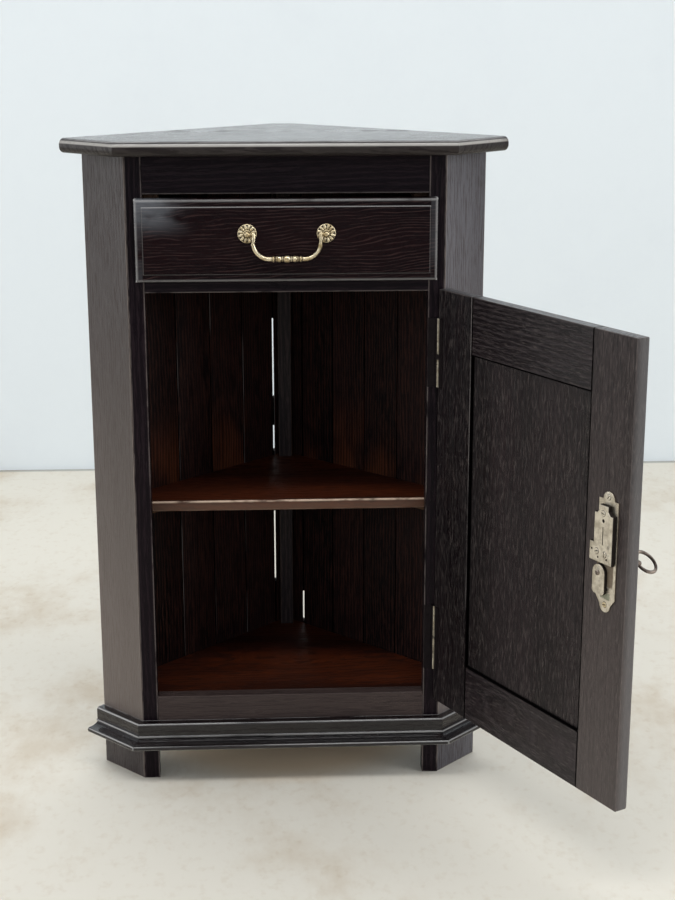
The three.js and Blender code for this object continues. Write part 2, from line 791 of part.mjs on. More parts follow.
function drawerSide(sign, name) {
  const [from, to] = sign > 0
    ? [drawerHalfWidth - drawerSideThickness, drawerHalfWidth]
    : [-drawerHalfWidth, drawerSideThickness - drawerHalfWidth];
  const frontRoot = drawerFrontInset + seatGap;
  const backRoot = drawerDepth - drawerBackThickness;
  const body = box(from, to, frontRoot, backRoot, drawerLow, drawerSideHigh);
  const tails = [
    ...tailOutlines(frontRoot + seatGap, -lapTailLength - seatGap, 0),
    ...tailOutlines(backRoot - seatGap, drawerBackThickness + seatGap, 0),
  ].map((outline) => prism(outline, from, to, 'x'));
  const groove = drawerGroove(-drawerDepth, 2 * drawerDepth);
  return finish(cut(join([body, ...tails]), [groove]), name, rawOak);
}

function drawerBack() {
  const low = drawerLow + drawerBottomLift + drawerBottomThickness + seatGap;
  const root = drawerDepth - drawerBackThickness - seatGap;
  const body = box(
    -drawerHalfWidth, drawerHalfWidth, root + 2 * seatGap, drawerDepth,
    low, drawerSideHigh - drawerBackDrop,
  );
  return finish(cut(body, tailSockets(root, drawerBackThickness + cutOverrun, cutOverrun)), 'drawer_back', rawOak);
}

function drawerBottom() {
  const half = drawerHalfWidth - drawerSideThickness + drawerGrooveDepth - seatGap;
  const front = drawerFrontInset - drawerGrooveDepth + seatGap;
  const low = drawerLow + drawerBottomLift;
  const board = box(-half, half, front, drawerDepth - seatGap, low, low + drawerBottomThickness);
  return finish(board, 'drawer_bottom', rawOak);
}

// The bail handle: two rosettes whose bosses carry the bail's pins

function rosette(sign, name) {
  const rim = rosetteThickness / 2;
  const disc = turned([
    [0, seatGap], [rosetteRadius, seatGap], [rosetteRadius, rim], [rosetteRadius - rim, rosetteThickness],
    [bossNeckRadius, rosetteThickness + rim], [bossNeckRadius, bailStandOff - bossRadius],
    [bossRadius, bailStandOff - bossRadius / 2], [bossRadius, bailStandOff + bossRadius / 2],
    [bossNeckRadius, bailStandOff + bossRadius - rim / 2], [0, bailStandOff + bossRadius],
  ], barrelFlats);
  const stem = rod(stemRadius, -rosetteThickness, drawerFaceDepth + drawerFrontInset + nutThickness + stemTip);
  const petalHalf = (rosetteRadius - bossNeckRadius) / 2;
  const petalMiddle = bossNeckRadius + petalHalf;
  const petals = Array.from({ length: petalCount }, (unused, index) => {
    const petal = new THREE.SphereGeometry(1, curveFlats, curveFlats);
    petal.scale(petalHalf, petalRelief, Math.PI * petalMiddle / petalCount);
    petal.translate(petalMiddle, -rosetteThickness, 0);
    return petal.rotateY(index * 2 * Math.PI / petalCount);
  });
  const pinHole = new THREE.CylinderGeometry(bailPinHoleRadius, bailPinHoleRadius, 2 * bossRadius, roundFlats);
  pinHole.rotateZ(Math.PI / 2).translate(-sign * bossRadius, -bailStandOff, 0);
  const solid = cut(join([disc, stem, ...petals]), [pinHole]);
  return finish(solid.translate(sign * handleCentres / 2, -drawerFaceDepth, handleHeight), name, brass);
}

function handleNut(sign, name) {
  const hexagon = turned([[0, -nutThickness], [nutRadius, -nutThickness], [nutRadius, 0], [0, 0]], curveFlats);
  const nut = cut(hexagon, [rod(stemRadius + seatGap, -cutOverrun, nutThickness + cutOverrun)]);
  return finish(nut.translate(sign * handleCentres / 2, drawerFrontInset + seatGap, handleHeight), name, brass);
}

function bailPath() {
  const legX = handleCentres / 2 - bailLegInset;
  const barX = bailBarHalfLength;
  const bendX = (legX + barX) / 2;
  const bendZ = -(bailStraightDrop + bailDrop) / 2;
  const point = (x, z) => new THREE.Vector3(x, 0, z);
  const path = new THREE.CurvePath();
  path.add(new THREE.LineCurve3(point(-legX, bailLegRadius), point(-legX, -bailStraightDrop)));
  path.add(new THREE.CubicBezierCurve3(
    point(-legX, -bailStraightDrop), point(-legX, bendZ), point(-bendX, -bailDrop), point(-barX, -bailDrop),
  ));
  path.add(new THREE.LineCurve3(point(-barX, -bailDrop), point(barX, -bailDrop)));
  path.add(new THREE.CubicBezierCurve3(
    point(barX, -bailDrop), point(bendX, -bailDrop), point(legX, bendZ), point(legX, -bailStraightDrop),
  ));
  path.add(new THREE.LineCurve3(point(legX, -bailStraightDrop), point(legX, bailLegRadius)));
  return path;
}

function bead(middle, half, radius) {
  return [
    [spindleRadius, middle - half], [radius, middle - half / 2],
    [radius, middle + half / 2], [spindleRadius, middle + half],
  ];
}

function bail() {
  const section = new THREE.Shape();
  section.absarc(0, 0, bailLegRadius, 0, 2 * Math.PI);
  const wire = new THREE.ExtrudeGeometry(section, { steps: bailSteps, curveSegments: 4, extrudePath: bailPath() });
  const profile = [
    [0, -bailBarHalfLength], [bailLegRadius, -bailBarHalfLength],
    ...bead(-spindleRimPlace, spindleRimHalfWidth, spindleRimRadius),
    ...bead(-spindleBeadPlace, spindleBeadHalfWidth, spindleBeadRadius),
    ...bead(0, spindleBallHalfWidth, spindleBallRadius),
    ...bead(spindleBeadPlace, spindleBeadHalfWidth, spindleBeadRadius),
    ...bead(spindleRimPlace, spindleRimHalfWidth, spindleRimRadius),
    [bailLegRadius, bailBarHalfLength], [0, bailBarHalfLength],
  ];
  const spindle = turned(profile).rotateZ(Math.PI / 2).translate(0, 0, -bailDrop);
  const pinLength = bailLegInset - bossRadius / 2;
  const pins = [-1, 1].map((sign) => {
    const pin = new THREE.CylinderGeometry(bailPinRadius, bailPinRadius, pinLength, roundFlats);
    const middle = handleCentres / 2 - bailLegInset + pinLength / 2;
    return pin.rotateZ(Math.PI / 2).translate(sign * middle, 0, 0);
  });
  const solid = join([wire, spindle, ...pins]).translate(0, -drawerFaceDepth - bailStandOff, handleHeight);
  return finish(solid, 'handle_bail', brass);
}

function drawer() {
  const group = new THREE.Group();
  group.add(drawerFront(), drawerSide(-1, 'drawer_left_side'), drawerSide(1, 'drawer_right_side'));
  group.add(drawerBack(), drawerBottom(), bail());
  group.add(rosette(-1, 'handle_left_rosette'), rosette(1, 'handle_right_rosette'));
  group.add(handleNut(-1, 'handle_left_nut'), handleNut(1, 'handle_right_nut'));
  return group;
}

// The door: two stiles, two rails and a fielded panel

function doorBlank(x0, x1, z0, z1) {
  const slab = lippedSlab(lippedWidth, doorLow, doorHigh).translate(-pinAcross, doorInnerFace, 0);
  return common(slab, box(x0, x1, doorOuterFace - cutOverrun, doorInnerFace + cutOverrun, z0, z1));
}

function panelGroove() {
  const reach = panelTongueDepth + panelPlay;
  const back = doorInnerFace - panelRecess + seatGap;
  const front = back - panelTongueThickness - 2 * seatGap;
  return box(panelFreeSide - reach, panelHingeSide + reach, front, back, panelLow - reach, panelHigh + reach);
}

function doorTenon(low, high, play) {
  const reach = doorTenonLength + play;
  const middle = (doorInnerFace + doorOuterFace) / 2;
  const half = doorTenonThickness / 2 + play;
  const inset = doorTenonShoulder - play;
  return box(panelFreeSide - reach, panelHingeSide + reach, middle - half, middle + half, low + inset, high - inset);
}

function doorRail(low, high, name) {
  const body = doorBlank(panelFreeSide + seatGap, panelHingeSide - seatGap, low, high);
  return finish(cut(join([body, doorTenon(low, high, 0)]), [panelGroove()]), name, oak);
}

function doorStile(from, to, name, extraCuts) {
  const body = doorBlank(from, to, doorLow, doorHigh);
  const mortises = [doorTenon(doorLow, panelLow, seatGap), doorTenon(panelHigh, doorHigh, seatGap)];
  return finish(cut(body, [panelGroove(), ...mortises, ...extraCuts]), name, oak);
}

function doorHingeStile() {
  const floor = doorLeafFace - hingeLeafThickness - seatGap;
  const cuts = hingeLows.map((low) => box(
    leafFar - seatGap, doorHingeEdge + cutOverrun, floor, doorInnerFace + cutOverrun,
    low - seatGap, low + hingeLength + seatGap,
  ));
  return doorStile(panelHingeSide, doorHingeEdge, 'door_hinge_stile', cuts);
}

function doorLockStile() {
  const keyhole = rod(keyholeRadius, doorOuterFace - cutOverrun, doorInnerFace + cutOverrun);
  return doorStile(doorFreeEdge, panelFreeSide, 'door_lock_stile', [keyhole.translate(keyAcross, 0, keyHeight)]);
}

function doorPanel() {
  const reach = panelTongueDepth - panelPlay;
  const width = panelHingeSide - panelFreeSide + 2 * reach;
  const height = panelHigh - panelLow + 2 * reach;
  const bevel = panelTongueDepth + panelBevelWidth;
  const slab = ringedSlab(width, height, [
    [0, 0], [0, panelTongueThickness], [panelTongueDepth, panelTongueThickness],
    [bevel, panelThickness - panelFieldStep], [bevel + seatGap, panelThickness],
  ]);
  const middle = (panelHingeSide + panelFreeSide) / 2;
  return finish(slab.translate(middle, doorInnerFace - panelRecess, (panelLow + panelHigh) / 2), 'door_panel', oak);
}

// Butt hinges: the frame leaf carries the outer knuckles, the door leaf the middle one

function hingeLeaf(low, y0, isFrame, name) {
  const y1 = y0 + hingeLeafThickness;
  const pitch = hingeLength / knuckleCount;
  const places = Array.from({ length: knuckleCount }, (unused, index) => index);
  const knuckles = places.filter((index) => (index % 2 === 0) === isFrame).flatMap((index) => {
    const from = low + index * pitch + knuckleGap / 2;
    const to = from + pitch - knuckleGap;
    return [uprightRod(knuckleRadius, from, to), box(leafNear - seatGap, 0, y0, y1, from, to)];
  });
  const plate = box(leafFar, leafNear, y0, y1, low, low + hingeLength);
  const bore = uprightRod(hingePinRadius + hingePinPlay, low - cutOverrun, low + hingeLength + cutOverrun);
  const holes = leafScrewShares.map((share) => {
    const hole = screwHole(hingeLeafThickness);
    if (!isFrame) hole.rotateZ(Math.PI);
    return hole.translate(leafScrewAcross, isFrame ? y0 : y1, low + share * hingeLength);
  });
  return finish(cut(join([plate, ...knuckles]), [bore, ...holes]), name, steel);
}

function hingePin(low, name) {
  return finish(uprightRod(hingePinRadius, low, low + hingeLength), name, steel);
}

// What stays on the stile, drawn from the pin like the door.
function fixedHinges() {
  const group = new THREE.Group();
  group.position.set(pinAcross, -pinDepth, 0);
  group.add(hingeLeaf(hingeLows[0], frameLeafFace, true, 'lower_hinge_frame_leaf'));
  group.add(hingeLeaf(hingeLows[1], frameLeafFace, true, 'upper_hinge_frame_leaf'));
  group.add(hingePin(hingeLows[0], 'lower_hinge_pin'), hingePin(hingeLows[1], 'upper_hinge_pin'));
  return group;
}

// The lock on the door's inner face, and the key through it

function caseScrewHoles() {
  return lockScrewShares.map(([u, v]) => (
    screwHole(lockCaseThickness).rotateZ(Math.PI)
      .translate(lockAcross + u * lockPlateWidth, lockCaseFace, lockCaseLow + v * lockCaseHeight)
  ));
}

function lockPlate() {
  const back = doorInnerFace + seatGap;
  const half = lockPlateWidth / 2;
  const low = lockHeight - lockPlateHeight / 2;
  const high = lockHeight + lockPlateHeight / 2;
  const footLow = low - lockFootDrop;
  const outline = [
    [-half, high], [-half, low], [-lockFootRadius, footLow], [lockFootRadius, footLow], [half, low], [half, high],
  ].map(([x, z]) => [lockAcross + x, z]);
  const ear = rod(lockEarRadius, back, lockPlateFace, barrelFlats).translate(lockAcross, 0, high);
  const foot = rod(lockFootRadius, back, lockPlateFace, barrelFlats).translate(lockAcross, 0, footLow);
  const holes = [high + lockEarScrewRise, footLow].map((z) => (
    screwHole(lockPlateThickness).rotateZ(Math.PI).translate(lockAcross, lockPlateFace, z)
  ));
  const keyHole = rod(keySpindleHalf * Math.SQRT2 + keySpindlePlay, doorOuterFace, lockCaseFace);
  const blank = join([prism(outline, back, lockPlateFace, 'y'), ear, foot]);
  return finish(cut(blank, [...holes, keyHole.translate(keyAcross, 0, keyHeight)]), 'lock_plate', nickel);
}

function lockCase() {
  const half = lockCaseWidth / 2;
  const low = lockCaseLow;
  const high = low + lockCaseHeight;
  const tab = lockTabWidth / 2;
  const step = half + lockStepWidth;
  const outline = [
    [-half, low], [step, low], [step, low + lockStepHeight], [half, low + lockStepHeight], [half, high],
    [tab + lockTabChamfer, high], [tab, high + lockTabChamfer], [tab, high + lockTabHeight],
    [-tab, high + lockTabHeight], [-tab, high + lockTabChamfer], [-tab - lockTabChamfer, high], [-half, high],
  ];
  const body = new THREE.ExtrudeGeometry(new THREE.Shape(outline.map(([x, z]) => new THREE.Vector2(x, z))), {
    depth: lockCaseThickness - 2 * lockCaseBevel,
    bevelThickness: lockCaseBevel,
    bevelSize: lockCaseBevel,
    bevelOffset: -lockCaseBevel,
    bevelSegments: 1,
  });
  body.applyMatrix4(BASIS_ALONG_Y).translate(lockAcross, lockCaseFace - lockCaseBevel, 0);
  const floor = lockCaseFace - lockRecessDepth;
  const top = lockCaseFace + cutOverrun;
  const slotLow = lockHeight + lockSlotRise;
  const slotHalf = lockSlotWidth / 2;
  const slot = box(lockAcross - slotHalf, lockAcross + slotHalf, floor, top, slotLow, slotLow + lockSlotHeight);
  const eye = rod(lockEyeRadius, floor, top).translate(lockAcross, 0, lockHeight + lockEyeRise);
  const rivetHalf = lockRivetWidth / 2;
  const rivets = lockRivetShares.map(([u, v]) => (
    box(-rivetHalf, rivetHalf, floor, top, -rivetHalf, rivetHalf)
      .translate(lockAcross + u * lockPlateWidth, 0, low + v * lockCaseHeight)
  ));
  return finish(cut(body, [slot, eye, ...rivets, ...caseScrewHoles()]), 'lock_case', nickel);
}

function lockTongue() {
  const half = tongueWidth / 2;
  const arc = Array.from({ length: tongueSegments + 1 }, (unused, index) => {
    const angle = Math.PI * index / tongueSegments;
    return [half * Math.cos(angle), half * Math.sin(angle)];
  });
  const outline = [
    ...arc, [-half, tongueCorner - tongueDrop], [tongueCorner - half, -tongueDrop],
    [half - tongueCorner, -tongueDrop], [half, tongueCorner - tongueDrop],
  ].map(([x, z]) => [keyAcross - tongueOffset + x, keyHeight + z]);
  const hole = keySpindleHalf + keySpindlePlay;
  const square = box(-hole, hole, doorInnerFace, 2 * lockCaseFace, -hole, hole).translate(keyAcross, 0, keyHeight);
  return finish(cut(prism(outline, tongueBack, tongueFace, 'y'), [square]), 'lock_tongue', nickel);
}

function key() {
  const spindle = box(
    -keySpindleHalf, keySpindleHalf, doorOuterFace - keyReach / 2, tongueFace + keyTipLength,
    -keySpindleHalf, keySpindleHalf,
  );
  const tip = rod(keyTipRadius, tongueFace + seatGap, tongueFace + keyTipLength);
  const collarFace = doorOuterFace - seatGap;
  const collar = rod(keyCollarRadius, collarFace - keyCollarWidth, collarFace);
  const shank = rod(keyShankRadius, doorOuterFace - keyReach, collarFace);
  const bow = new THREE.TorusGeometry(1, keyBowWireRadius / keyBowHalfWidth, screwFlats, 2 * roundFlats);
  bow.scale(keyBowHalfWidth, keyBowHalfLength, keyBowHalfWidth);
  bow.rotateY(THREE.MathUtils.degToRad(keyBowTiltDegrees));
  bow.translate(0, doorOuterFace - keyReach - keyBowHalfLength, 0);
  return finish(join([spindle, tip, collar, shank, bow]).translate(keyAcross, 0, keyHeight), 'key', iron);
}

function door() {
  const group = new THREE.Group();
  group.position.set(pinAcross, -pinDepth, 0);
  group.rotation.z = THREE.MathUtils.degToRad(doorOpenDegrees);
  const leafBack = doorLeafFace - hingeLeafThickness;
  group.add(doorHingeStile(), doorLockStile(), doorPanel());
  group.add(doorRail(doorLow, panelLow, 'door_bottom_rail'), doorRail(panelHigh, doorHigh, 'door_top_rail'));
  group.add(hingeLeaf(hingeLows[0], leafBack, false, 'lower_hinge_door_leaf'));
  group.add(hingeLeaf(hingeLows[1], leafBack, false, 'upper_hinge_door_leaf'));
  group.add(lockPlate(), lockCase(), lockTongue(), key());
  return group;
}

const cupboard = new THREE.Group();
cupboard.add(carcass(), fixedHinges(), drawer(), door());

// The origin goes to the middle of the floor that the cupboard and its open door take up
const footprint = new THREE.Box3().setFromObject(cupboard, true).getCenter(new THREE.Vector3());
cupboard.position.set(-footprint.x, -footprint.y, 0);

export default cupboard;
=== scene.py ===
"""Looks for a corner cupboard in dark-stained oak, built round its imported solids.

Lengths are in metres, in the frame of the solids. The cupboard's own plan has its
origin on the floor, on the centre line of its front face.
"""

from __future__ import annotations

import json
import logging
import math
from collections.abc import Callable, Iterable, Mapping, Sequence
from dataclasses import dataclass, replace
from enum import Enum

import bmesh
import bpy
from mathutils import Matrix, Vector


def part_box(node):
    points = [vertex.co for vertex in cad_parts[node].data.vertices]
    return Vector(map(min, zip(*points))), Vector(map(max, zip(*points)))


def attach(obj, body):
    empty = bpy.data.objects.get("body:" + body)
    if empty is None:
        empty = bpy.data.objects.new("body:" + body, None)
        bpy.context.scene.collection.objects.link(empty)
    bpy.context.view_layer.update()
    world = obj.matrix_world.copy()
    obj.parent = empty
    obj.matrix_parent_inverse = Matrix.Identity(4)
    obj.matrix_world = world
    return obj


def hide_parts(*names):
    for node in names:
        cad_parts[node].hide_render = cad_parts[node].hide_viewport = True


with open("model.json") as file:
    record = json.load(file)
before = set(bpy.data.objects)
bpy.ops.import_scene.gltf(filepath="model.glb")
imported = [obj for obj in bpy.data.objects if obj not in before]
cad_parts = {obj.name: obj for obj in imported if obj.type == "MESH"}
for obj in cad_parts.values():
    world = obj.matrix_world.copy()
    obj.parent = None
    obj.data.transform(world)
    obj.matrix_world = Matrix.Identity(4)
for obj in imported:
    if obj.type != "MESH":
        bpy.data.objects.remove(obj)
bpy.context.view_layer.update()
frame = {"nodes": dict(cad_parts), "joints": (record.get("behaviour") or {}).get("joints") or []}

LOG = logging.getLogger("cupboard")
MM = 0.001
FULL_TURN = 2 * math.pi
QUARTER_TURN = math.pi / 2
EIGHTH_TURN = math.pi / 4
MERGE_DISTANCE = 0.002 * MM
ARRIS_LIMIT = 25
WALL_DEPTH = 1.555
PATINA_AND_LIGHT = "patina_and_light"
SIDES = ((-1, "left"), (1, "right"))

Colour = tuple[float, float, float, float]
Pair = tuple[float, float]
Point = tuple[float, float, float]


class Body(Enum):
    """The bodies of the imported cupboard."""

    CABINET = "cabinet"
    DRAWER = "drawer"
    BAIL = "bail"
    DOOR = "door"
    KEY = "key"


class Slot(Enum):
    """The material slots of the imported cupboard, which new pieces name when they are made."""

    DARK_OAK = "dark_oak"
    OLD_BRASS = "old_brass"
    HINGE_STEEL = "hinge_steel"
    LOCK_NICKEL = "lock_nickel"
    KEY_IRON = "key_iron"


class Figure(Enum):
    """How a board was sawn from the log, which its face shows."""

    CROWN = "crown"
    STRAIGHT = "straight"


class Edge(Enum):
    """The edges of a board, as the part of its place that they end and the sign of their side."""

    LOW_END = (0, -1)
    HIGH_END = (0, 1)
    LOW_SIDE = (1, -1)
    HIGH_SIDE = (1, 1)


def shade(red: float, green: float, blue: float) -> Colour:
    """Turns a colour as it is seen into the linear colour of a shader.

    Args:
        red: Red, from 0 to 255.
        green: Green, from 0 to 255.
        blue: Blue, from 0 to 255.

    Returns:
        The linear colour, with an alpha of 1.
    """
    shares = [value / 255 for value in (red, green, blue)]
    linear = [s / 12.92 if s <= 0.04045 else ((s + 0.055) / 1.055) ** 2.4 for s in shares]
    return (linear[0], linear[1], linear[2], 1.0)


def in_mm(*points: Pair) -> tuple[Pair, ...]:
    """Gives points that are written in millimetres."""
    return tuple((first * MM, second * MM) for first, second in points)


class Value:
    """The output of a shader node, which takes part in sums."""

    def __init__(self, graph: Graph, socket: bpy.types.NodeSocket) -> None:
        """Wraps a socket.

        Args:
            graph: The graph that further nodes go into.
            socket: The output that is wrapped.
        """
        self.graph = graph
        self.socket = socket

    def maths(self, operation: str, *terms: Term) -> Value:
        """Adds a Math node.

        Args:
            operation: The node's operation.
            terms: What its sockets take, in order.

        Returns:
            The node's result.
        """
        return self.graph.maths(operation, *terms)

    def __add__(self, other: Term) -> Value:
        """Adds two values."""
        return self.maths("ADD", self, other)

    def __radd__(self, other: Term) -> Value:
        """Adds a value to a number."""
        return self.maths("ADD", other, self)

    def __sub__(self, other: Term) -> Value:
        """Takes one value from another."""
        return self.maths("SUBTRACT", self, other)

    def __rsub__(self, other: Term) -> Value:
        """Takes a value from a number."""
        return self.maths("SUBTRACT", other, self)

    def __mul__(self, other: Term) -> Value:
        """Multiplies two values."""
        return self.maths("MULTIPLY", self, other)

    def __rmul__(self, other: Term) -> Value:
        """Multiplies a number by a value."""
        return self.maths("MULTIPLY", other, self)

    def __pow__(self, power: Term) -> Value:
        """Raises a value to a power."""
        return self.maths("POWER", self, power)

    def __abs__(self) -> Value:
        """Drops a value's sign."""
        return self.maths("ABSOLUTE", self)

    def wave(self) -> Value:
        """Gives a wave between 0 and 1 along this value, in radians."""
        return self.maths("SINE", self) * 0.5 + 0.5

    def larger(self, other: Term) -> Value:
        """Gives the larger of two values."""
        return self.maths("MAXIMUM", self, other)

    def smaller(self, other: Term) -> Value:
        """Gives the smaller of two values."""
        return self.maths("MINIMUM", self, other)

    def eased(self, low: float, high: float) -> Value:
        """Eases a value from 0 at one level to 1 at another.

        Args:
            low: The level that gives 0.
            high: The level that gives 1.

        Returns:
            The eased value.
        """
        settings = {"interpolation_type": "SMOOTHSTEP"}
        return self.graph.node("ShaderNodeMapRange", settings, {0: self, 1: low, 2: high})


Term = Value | float


class Graph:
    """The shader nodes of a material or of the world."""

    def __init__(self, owner: bpy.types.ID) -> None:
        """Starts with no nodes.

        Args:
            owner: The material or world.
        """
        owner.use_nodes = True
        self.tree = owner.node_tree
        self.tree.nodes.clear()

    def node(
        self,
        kind: str,
        settings: Mapping[str, object] | None = None,
        inputs: Mapping[int | str, object] | None = None,
        output: int | str = 0,
    ) -> Value:
        """Adds a node.

        Args:
            kind: The node's type.
            settings: Its own settings, which are made first.
            inputs: A value or a link for each socket.
            output: Which of its outputs is wanted.

        Returns:
            The output that was asked for.
        """
        made = self.tree.nodes.new(kind)
        for key, value in (settings or {}).items():
            setattr(made, key, value)
        for key, value in (inputs or {}).items():
            if isinstance(value, Value):
                self.tree.links.new(value.socket, made.inputs[key])
            else:
                made.inputs[key].default_value = value
        return Value(self, made.outputs[output])

    def maths(self, operation: str, *terms: Term) -> Value:
        """Adds a Math node.

        Args:
            operation: The node's operation.
            terms: What its sockets take, in order.

        Returns:
            The node's result.
        """
        return self.node("ShaderNodeMath", {"operation": operation}, dict(enumerate(terms)))

    def place(self) -> Value:
        """Gives the place on the piece, in the frame of the solids."""
        return self.node("ShaderNodeTexCoord", output="Object")

    def split(self, vector: Value) -> tuple[Value, Value, Value]:
        """Splits a vector.

        Args:
            vector: The vector.

        Returns:
            Its three parts.
        """
        first = self.node("ShaderNodeSeparateXYZ", inputs={0: vector})
        outputs = first.socket.node.outputs
        return first, Value(self, outputs[1]), Value(self, outputs[2])

    def noise(self, place: Value, rate: Point, seed: float, detail: float = 2, rough: float = 0.5) -> Value:
        """Adds noise that runs at its own rate along each direction.

        Args:
            place: Where the noise is read.
            rate: How many times a metre it changes, for each direction.
            seed: What sets it apart from other noise.
            detail: How many finer layers it has.
            rough: How strong the finer layers are.

        Returns:
            The noise, which lies around 0.5.
        """
        shift = (seed * 1.7, seed * 3.1, seed * 5.3)
        scaled = self.node("ShaderNodeVectorMath", {"operation": "MULTIPLY_ADD"}, {0: place, 1: rate, 2: shift})
        inputs = {"Vector": scaled, "Scale": 1.0, "Detail": detail, "Roughness": rough}
        return self.node("ShaderNodeTexNoise", {"noise_dimensions": "3D"}, inputs)

    def blend(self, share: Term, first: Value | Colour, second: Value | Colour) -> Value:
        """Blends two colours.

        Args:
            share: How much of the second there is.
            first: The first colour.
            second: The second colour.

        Returns:
            The blend.
        """
        settings = {"data_type": "RGBA", "clamp_factor": True}
        return self.node("ShaderNodeMix", settings, {0: share, 6: first, 7: second}, 2)

    def bump(self, height: Value, depth: float, strength: float) -> Value:
        """Turns a height into a normal.

        Args:
            height: The height, from 0 to 1.
            depth: How deep 1 is, in metres.
            strength: How much of it shows.

        Returns:
            The normal.
        """
        inputs = {"Height": height, "Distance": depth, "Strength": strength}
        return self.node("ShaderNodeBump", inputs=inputs, output="Normal")

    def finish(self, shader: Value, kind: str = "ShaderNodeOutputMaterial") -> None:
        """Ends the nodes in a shader.

        Args:
            shader: The shader.
            kind: The type of the node that ends them.
        """
        end = self.tree.nodes.new(kind)
        self.tree.links.new(shader.socket, end.inputs["Surface"])


@dataclass(frozen=True)
class Board:
    """How the wood runs in one board, and how large the board is."""

    along: Vector
    face: Vector
    figure: Figure
    seed: float
    seams: tuple[Edge, ...] = ()
    # Edges that carry painted light
    lit_edges: tuple[Edge, ...] = ()
    middle: Vector = Vector()
    half: Vector = Vector()

    def measured(self, points: Iterable[Vector]) -> Board:
        """Measures the board.

        Args:
            points: The board's vertices.

        Returns:
            The board with its middle and half sizes.
        """
        turn = self.turn_of(self.along, self.face)
        turned = [turn @ point for point in points]
        low = Vector([min(point[axis] for point in turned) for axis in range(3)])
        high = Vector([max(point[axis] for point in turned) for axis in range(3)])
        return replace(self, middle=(low + high) / 2, half=(high - low) / 2)

    @staticmethod
    def turn_of(along: Vector, face: Vector) -> Matrix:
        """Gives the turn that takes the grain to X and the face to Z.

        Args:
            along: The direction of the grain.
            face: The direction that the face looks in.

        Returns:
            The turn.
        """
        return Matrix((along, face.cross(along), face))

    @property
    def upward(self) -> float:
        """Gives the sign of the side that is uppermost."""
        return math.copysign(1.0, self.face.cross(self.along).z)

    def place(self, graph: Graph) -> Value:
        """Gives the place in the board: along, across and through it, from its middle.

        Args:
            graph: The graph that asks for it.

        Returns:
            The place, in metres.
        """
        inputs = {
            "Vector": graph.place(),
            "Rotation": self.turn_of(self.along, self.face).to_euler(),
            "Location": -self.middle,
        }
        return graph.node("ShaderNodeMapping", {"vector_type": "POINT"}, inputs)


def patina_and_light(graph: Graph) -> Value:
    """Reads the attribute that marks a piece's hollows, for dirt, oxide and painted shade, and its crests, for
    painted highlights.
    """
    return graph.node("ShaderNodeAttribute", {"attribute_name": PATINA_AND_LIGHT}, output="Fac")


